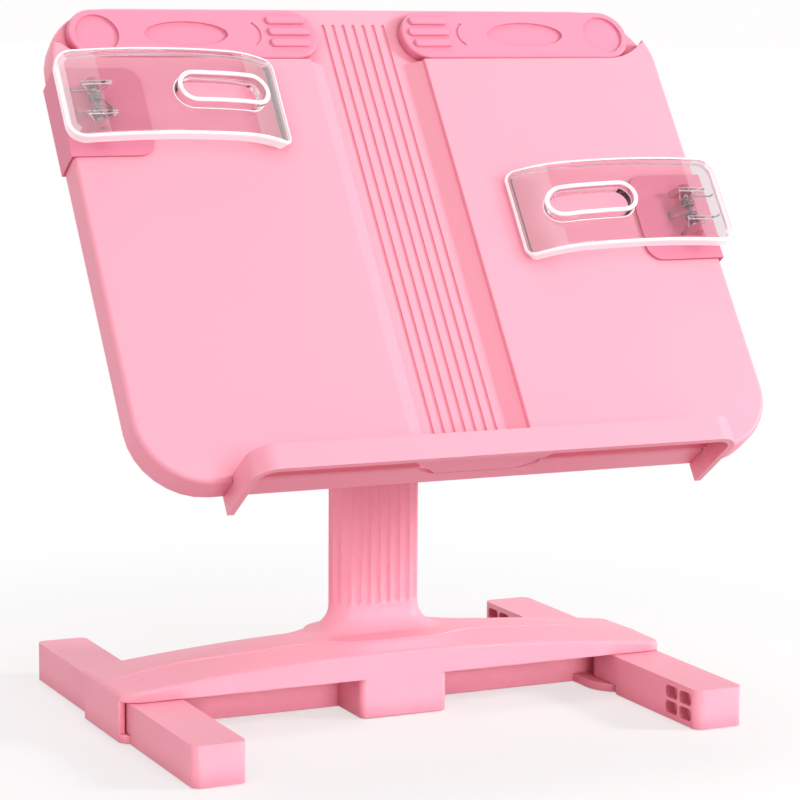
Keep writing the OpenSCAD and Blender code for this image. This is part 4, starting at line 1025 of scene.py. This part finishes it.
class BOOKSTAND_OT_mouldings(bpy.types.Operator):
    """Rounds the edges of the ledge, legs, hinge parts and dials"""

    bl_idname = "book_stand.mouldings"
    bl_label = "Ledge, legs and dials"

    def execute(self, context):
        pink, deep = (pink_plastic(), "pink_plastic"), (deep_plastic(), "deep_pink_plastic")
        legs = [f"leg_{t}_{s}" for t in ("front", "rear") for s in ("left", "right")]
        rounded_nodes = [("ledge", "board", 0.7, pink), *((leg, leg, 0.9, pink) for leg in legs),
                         ("column_bush", "base", 0.4, deep), ("height_dial", "height_dial", 0.7, deep),
                         ("tilt_head", "mast", 0.6, deep), ("tilt_bracket", "board", 0.6, deep),
                         ("tilt_dial", "tilt_dial", 0.7, deep)]
        for node, body, edge, (material, slot) in rounded_nodes:
            piece = place(softened(node, edge), body, material, node)
            # The ledge's hollow gets painted shade.
            if node == "ledge":
                self.shade_hollow(in_mm(context.scene.stand_board), piece)
        return {"FINISHED"}

    def shade_hollow(self, board, piece):
        """Paints shade on the shelf's underside, inside the skirt, beside the tongue, as a darker
        finish.
        """
        start_u, start_n, slant = board.channel_w / 2 + 1, 2.4, 0.83
        piece.data.materials.append(painted_hollow_shade())
        to_frame = board_matrix(board)
        to_board = to_frame.inverted()
        bm = bmesh.new()
        bm.from_mesh(piece.data)
        for side in (1, -1):
            start = to_frame @ Vector((side * start_u, 0, start_n)) * MM
            across = to_frame.to_3x3() @ Vector((side, 0, -slant))
            under = [f for f in bm.faces if self.is_under(to_board, f)]
            edges = {e for f in under for e in f.edges}
            verts = {v for f in under for v in f.verts}
            bmesh.ops.bisect_plane(bm, geom=[*under, *edges, *verts], dist=1e-7, plane_co=start,
                                   plane_no=across)
        # Faces of the underside beside the tongue get the painted shade.
        for face in bm.faces:
            u, _, n = to_board @ (face.calc_center_median() / MM)
            if self.is_under(to_board, face) and abs(u) > start_u + slant * (n - start_n):
                face.material_index = 1
        bm.to_mesh(piece.data)
        bm.free()

    def is_under(self, to_board, face):
        """Whether a face of the ledge is the underside of its shelf."""
        return (abs((to_board @ (face.calc_center_median() / MM)).y) < 1
                and (to_board.to_3x3() @ face.normal).y < -0.7)


class BOOKSTAND_OT_hardware(bpy.types.Operator):
    """Gives the pins, screws, mast and pads their finishes"""

    bl_idname = "book_stand.hardware"
    bl_label = "Hardware and pads"

    def execute(self, context):
        finishes = {"steel": stand_steel(), "rubber_pad": pad_rubber()}
        for part in frame["record"]["subparts"]:
            node = NODES[part["node"]]
            if part["material_slot"] in finishes and not node.hide_render:
                node.data.materials.clear()
                node.data.materials.append(finishes[part["material_slot"]])
        return {"FINISHED"}


class BOOKSTAND_OT_stage(bpy.types.Operator):
    """Sets the pale floor, the soft lamps, the white surround and the camera"""

    bl_idname = "book_stand.stage"
    bl_label = "Stage"

    def execute(self, context):
        scene, blush = context.scene, (1, 0.78, 0.82)
        scene.view_settings.view_transform = "Standard"
        self.floor()
        self.surround(scene)
        self.lamp("Key lamp", (1.64, -0.9, 0.88), 0.35, 24.5)
        self.lamp("Top lamp", (0, 0.6, 2.09), 1.0, 12.5)
        self.lamp("Left lamp", (-1.6, -1.1, 0.68), 1.0, 7.5, blush)
        self.lamp("Side lamp", (-1.75, 0.5, 0.42), 1.0, 6, blush)
        self.lamp("Front lamp", (0.2, -1.88, 0.75), 1.0, 16)
        low = self.lamp("Low lamp", (-0.3, -1.8, 0.05), 0.6, 0.05, aim=0.012)
        low.shape, low.size_y, low.spread = "RECTANGLE", 0.05, math.radians(6)
        self.camera(scene)
        return {"FINISHED"}

    def shown_rays(self, tree):
        """One for camera, glossy and transmission rays that have not yet left a matt surface."""
        path = node_in(tree, "ShaderNodeLightPath").outputs
        seen = value_of(tree, "MAXIMUM", path["Is Camera Ray"], path["Is Glossy Ray"])
        shown = value_of(tree, "MAXIMUM", seen, path["Is Transmission Ray"])
        direct = value_of(tree, "LESS_THAN", path["Diffuse Depth"], 0.5)
        return value_of(tree, "MULTIPLY", shown, direct)

    def floor(self):
        """A pale floor that keeps the shadow near the stand and fades to white further out."""
        bm = bmesh.new()
        bmesh.ops.create_circle(bm, cap_ends=True, radius=30, segments=96)
        mesh = bpy.data.meshes.new("floor")
        bm.to_mesh(mesh)
        bm.free()
        floor = bpy.data.objects.new("floor", mesh)
        bpy.context.scene.collection.objects.link(floor)
        material, tree, shader = new_material("Pale floor")
        pale, thrown_back = (0.93, 0.92, 0.92, 1), (0.6, 0.44, 0.47, 1)
        bounce = node_in(tree, "ShaderNodeLightPath").outputs["Is Diffuse Ray"]
        tree.links.new(mixed(tree, bounce, pale, thrown_back), shader.inputs["Base Color"])
        set_inputs(shader, {"Roughness": 0.9, "Specular IOR Level": 0.1})
        spot = node_in(tree, "ShaderNodeTexCoord").outputs["Object"]
        far = node_in(tree, "ShaderNodeVectorMath", {0: spot}, operation="LENGTH").outputs["Value"]
        fade = node_in(tree, "ShaderNodeMapRange", interpolation_type="SMOOTHSTEP", links={
            "Value": far, "From Min": 0.12, "From Max": 0.5, "To Min": 0.6})
        share = value_of(tree, "MULTIPLY", fade.outputs[0], self.shown_rays(tree))
        white = node_in(tree, "ShaderNodeEmission", {"Color": (1, 1, 1, 1), "Strength": 1.0})
        show_mixed(tree, share, shader.outputs[0], white.outputs[0])
        mesh.materials.append(material)

    def surround(self, scene):
        """A white surround that lights the stand at a plain level."""
        world = bpy.data.worlds.new("White surround")
        scene.world = world
        world.use_nodes = True
        tree = world.node_tree
        back = tree.nodes["Background"]
        back.inputs["Color"].default_value = (1, 0.985, 0.985, 1)
        strength = node_in(tree, "ShaderNodeMapRange", {
            "Value": self.shown_rays(tree), "To Min": 0.32, "To Max": 1.0})
        tree.links.new(strength.outputs[0], back.inputs["Strength"])

    def lamp(self, name, where, size, power, colour=(1, 1, 1), aim=0.18):
        """A square soft lamp aimed at a height on the stand's middle."""
        light = bpy.data.lights.new(name, "AREA")
        light.size, light.energy, light.color = size, power, colour
        lamp = bpy.data.objects.new(name, light)
        bpy.context.scene.collection.objects.link(lamp)
        lamp.location = where
        lamp.rotation_euler = (Vector((0, 0, aim)) - Vector(where)).to_track_quat("-Z", "Y").to_euler()
        return light

    def camera(self, scene):
        """The camera at the photograph's angle."""
        azimuth, elevation, roll = (math.radians(a) for a in (-24.858, 7.8595, 0.342))
        back = Vector((math.sin(azimuth) * math.cos(elevation),
                       -math.cos(azimuth) * math.cos(elevation), math.sin(elevation)))
        right = (-back).cross(Vector((0, 0, 1))).normalized()
        up = right.cross(-back)
        across = right * math.cos(roll) + up * math.sin(roll)
        upward = up * math.cos(roll) - right * math.sin(roll)
        lens = bpy.data.cameras.new("Camera")
        lens.sensor_width, lens.lens = 36, 125.4686
        lens.clip_start, lens.clip_end = 0.05, 60
        camera = bpy.data.objects.new("Camera", lens)
        scene.collection.objects.link(camera)
        turn = Matrix((across, upward, back)).transposed().to_4x4()
        camera.matrix_world = Matrix.Translation((-0.55774, -1.22677, 0.33691)) @ turn
        scene.camera = camera


class BOOKSTAND_PT_panel(bpy.types.Panel):
    """Lists the stand's pieces, sizes and colours"""

    bl_idname = "BOOKSTAND_PT_panel"
    bl_label = "Book Stand"
    bl_space_type = "VIEW_3D"
    bl_region_type = "UI"
    bl_category = "Book Stand"

    def draw(self, context):
        for operator in OPERATORS:
            self.layout.operator(operator.bl_idname)
        for group, kind in GROUPS.items():
            box = self.layout.box()
            for name in kind.__annotations__:
                box.prop(getattr(context.scene, group), name)


GROUPS = {"stand_board": BookStandBoard, "stand_clips": BookStandClips, "stand_base": BookStandBase,
          "stand_colours": BookStandColours}
OPERATORS = (BOOKSTAND_OT_board, BOOKSTAND_OT_arms, BOOKSTAND_OT_clips, BOOKSTAND_OT_base,
             BOOKSTAND_OT_mouldings, BOOKSTAND_OT_hardware, BOOKSTAND_OT_stage)


def register():
    for kind in (*GROUPS.values(), *OPERATORS, BOOKSTAND_PT_panel):
        bpy.utils.register_class(kind)
    for name, kind in GROUPS.items():
        setattr(bpy.types.Scene, name, bpy.props.PointerProperty(type=kind))


def unregister():
    for name in GROUPS:
        delattr(bpy.types.Scene, name)
    for kind in reversed((*GROUPS.values(), *OPERATORS, BOOKSTAND_PT_panel)):
        bpy.utils.unregister_class(kind)


def main():
    register()
    bpy.ops.book_stand.board()
    bpy.ops.book_stand.arms()
    bpy.ops.book_stand.clips()
    bpy.ops.book_stand.base()
    bpy.ops.book_stand.mouldings()
    bpy.ops.book_stand.hardware()
    bpy.ops.book_stand.stage()


if __name__ == "__main__":
    main()
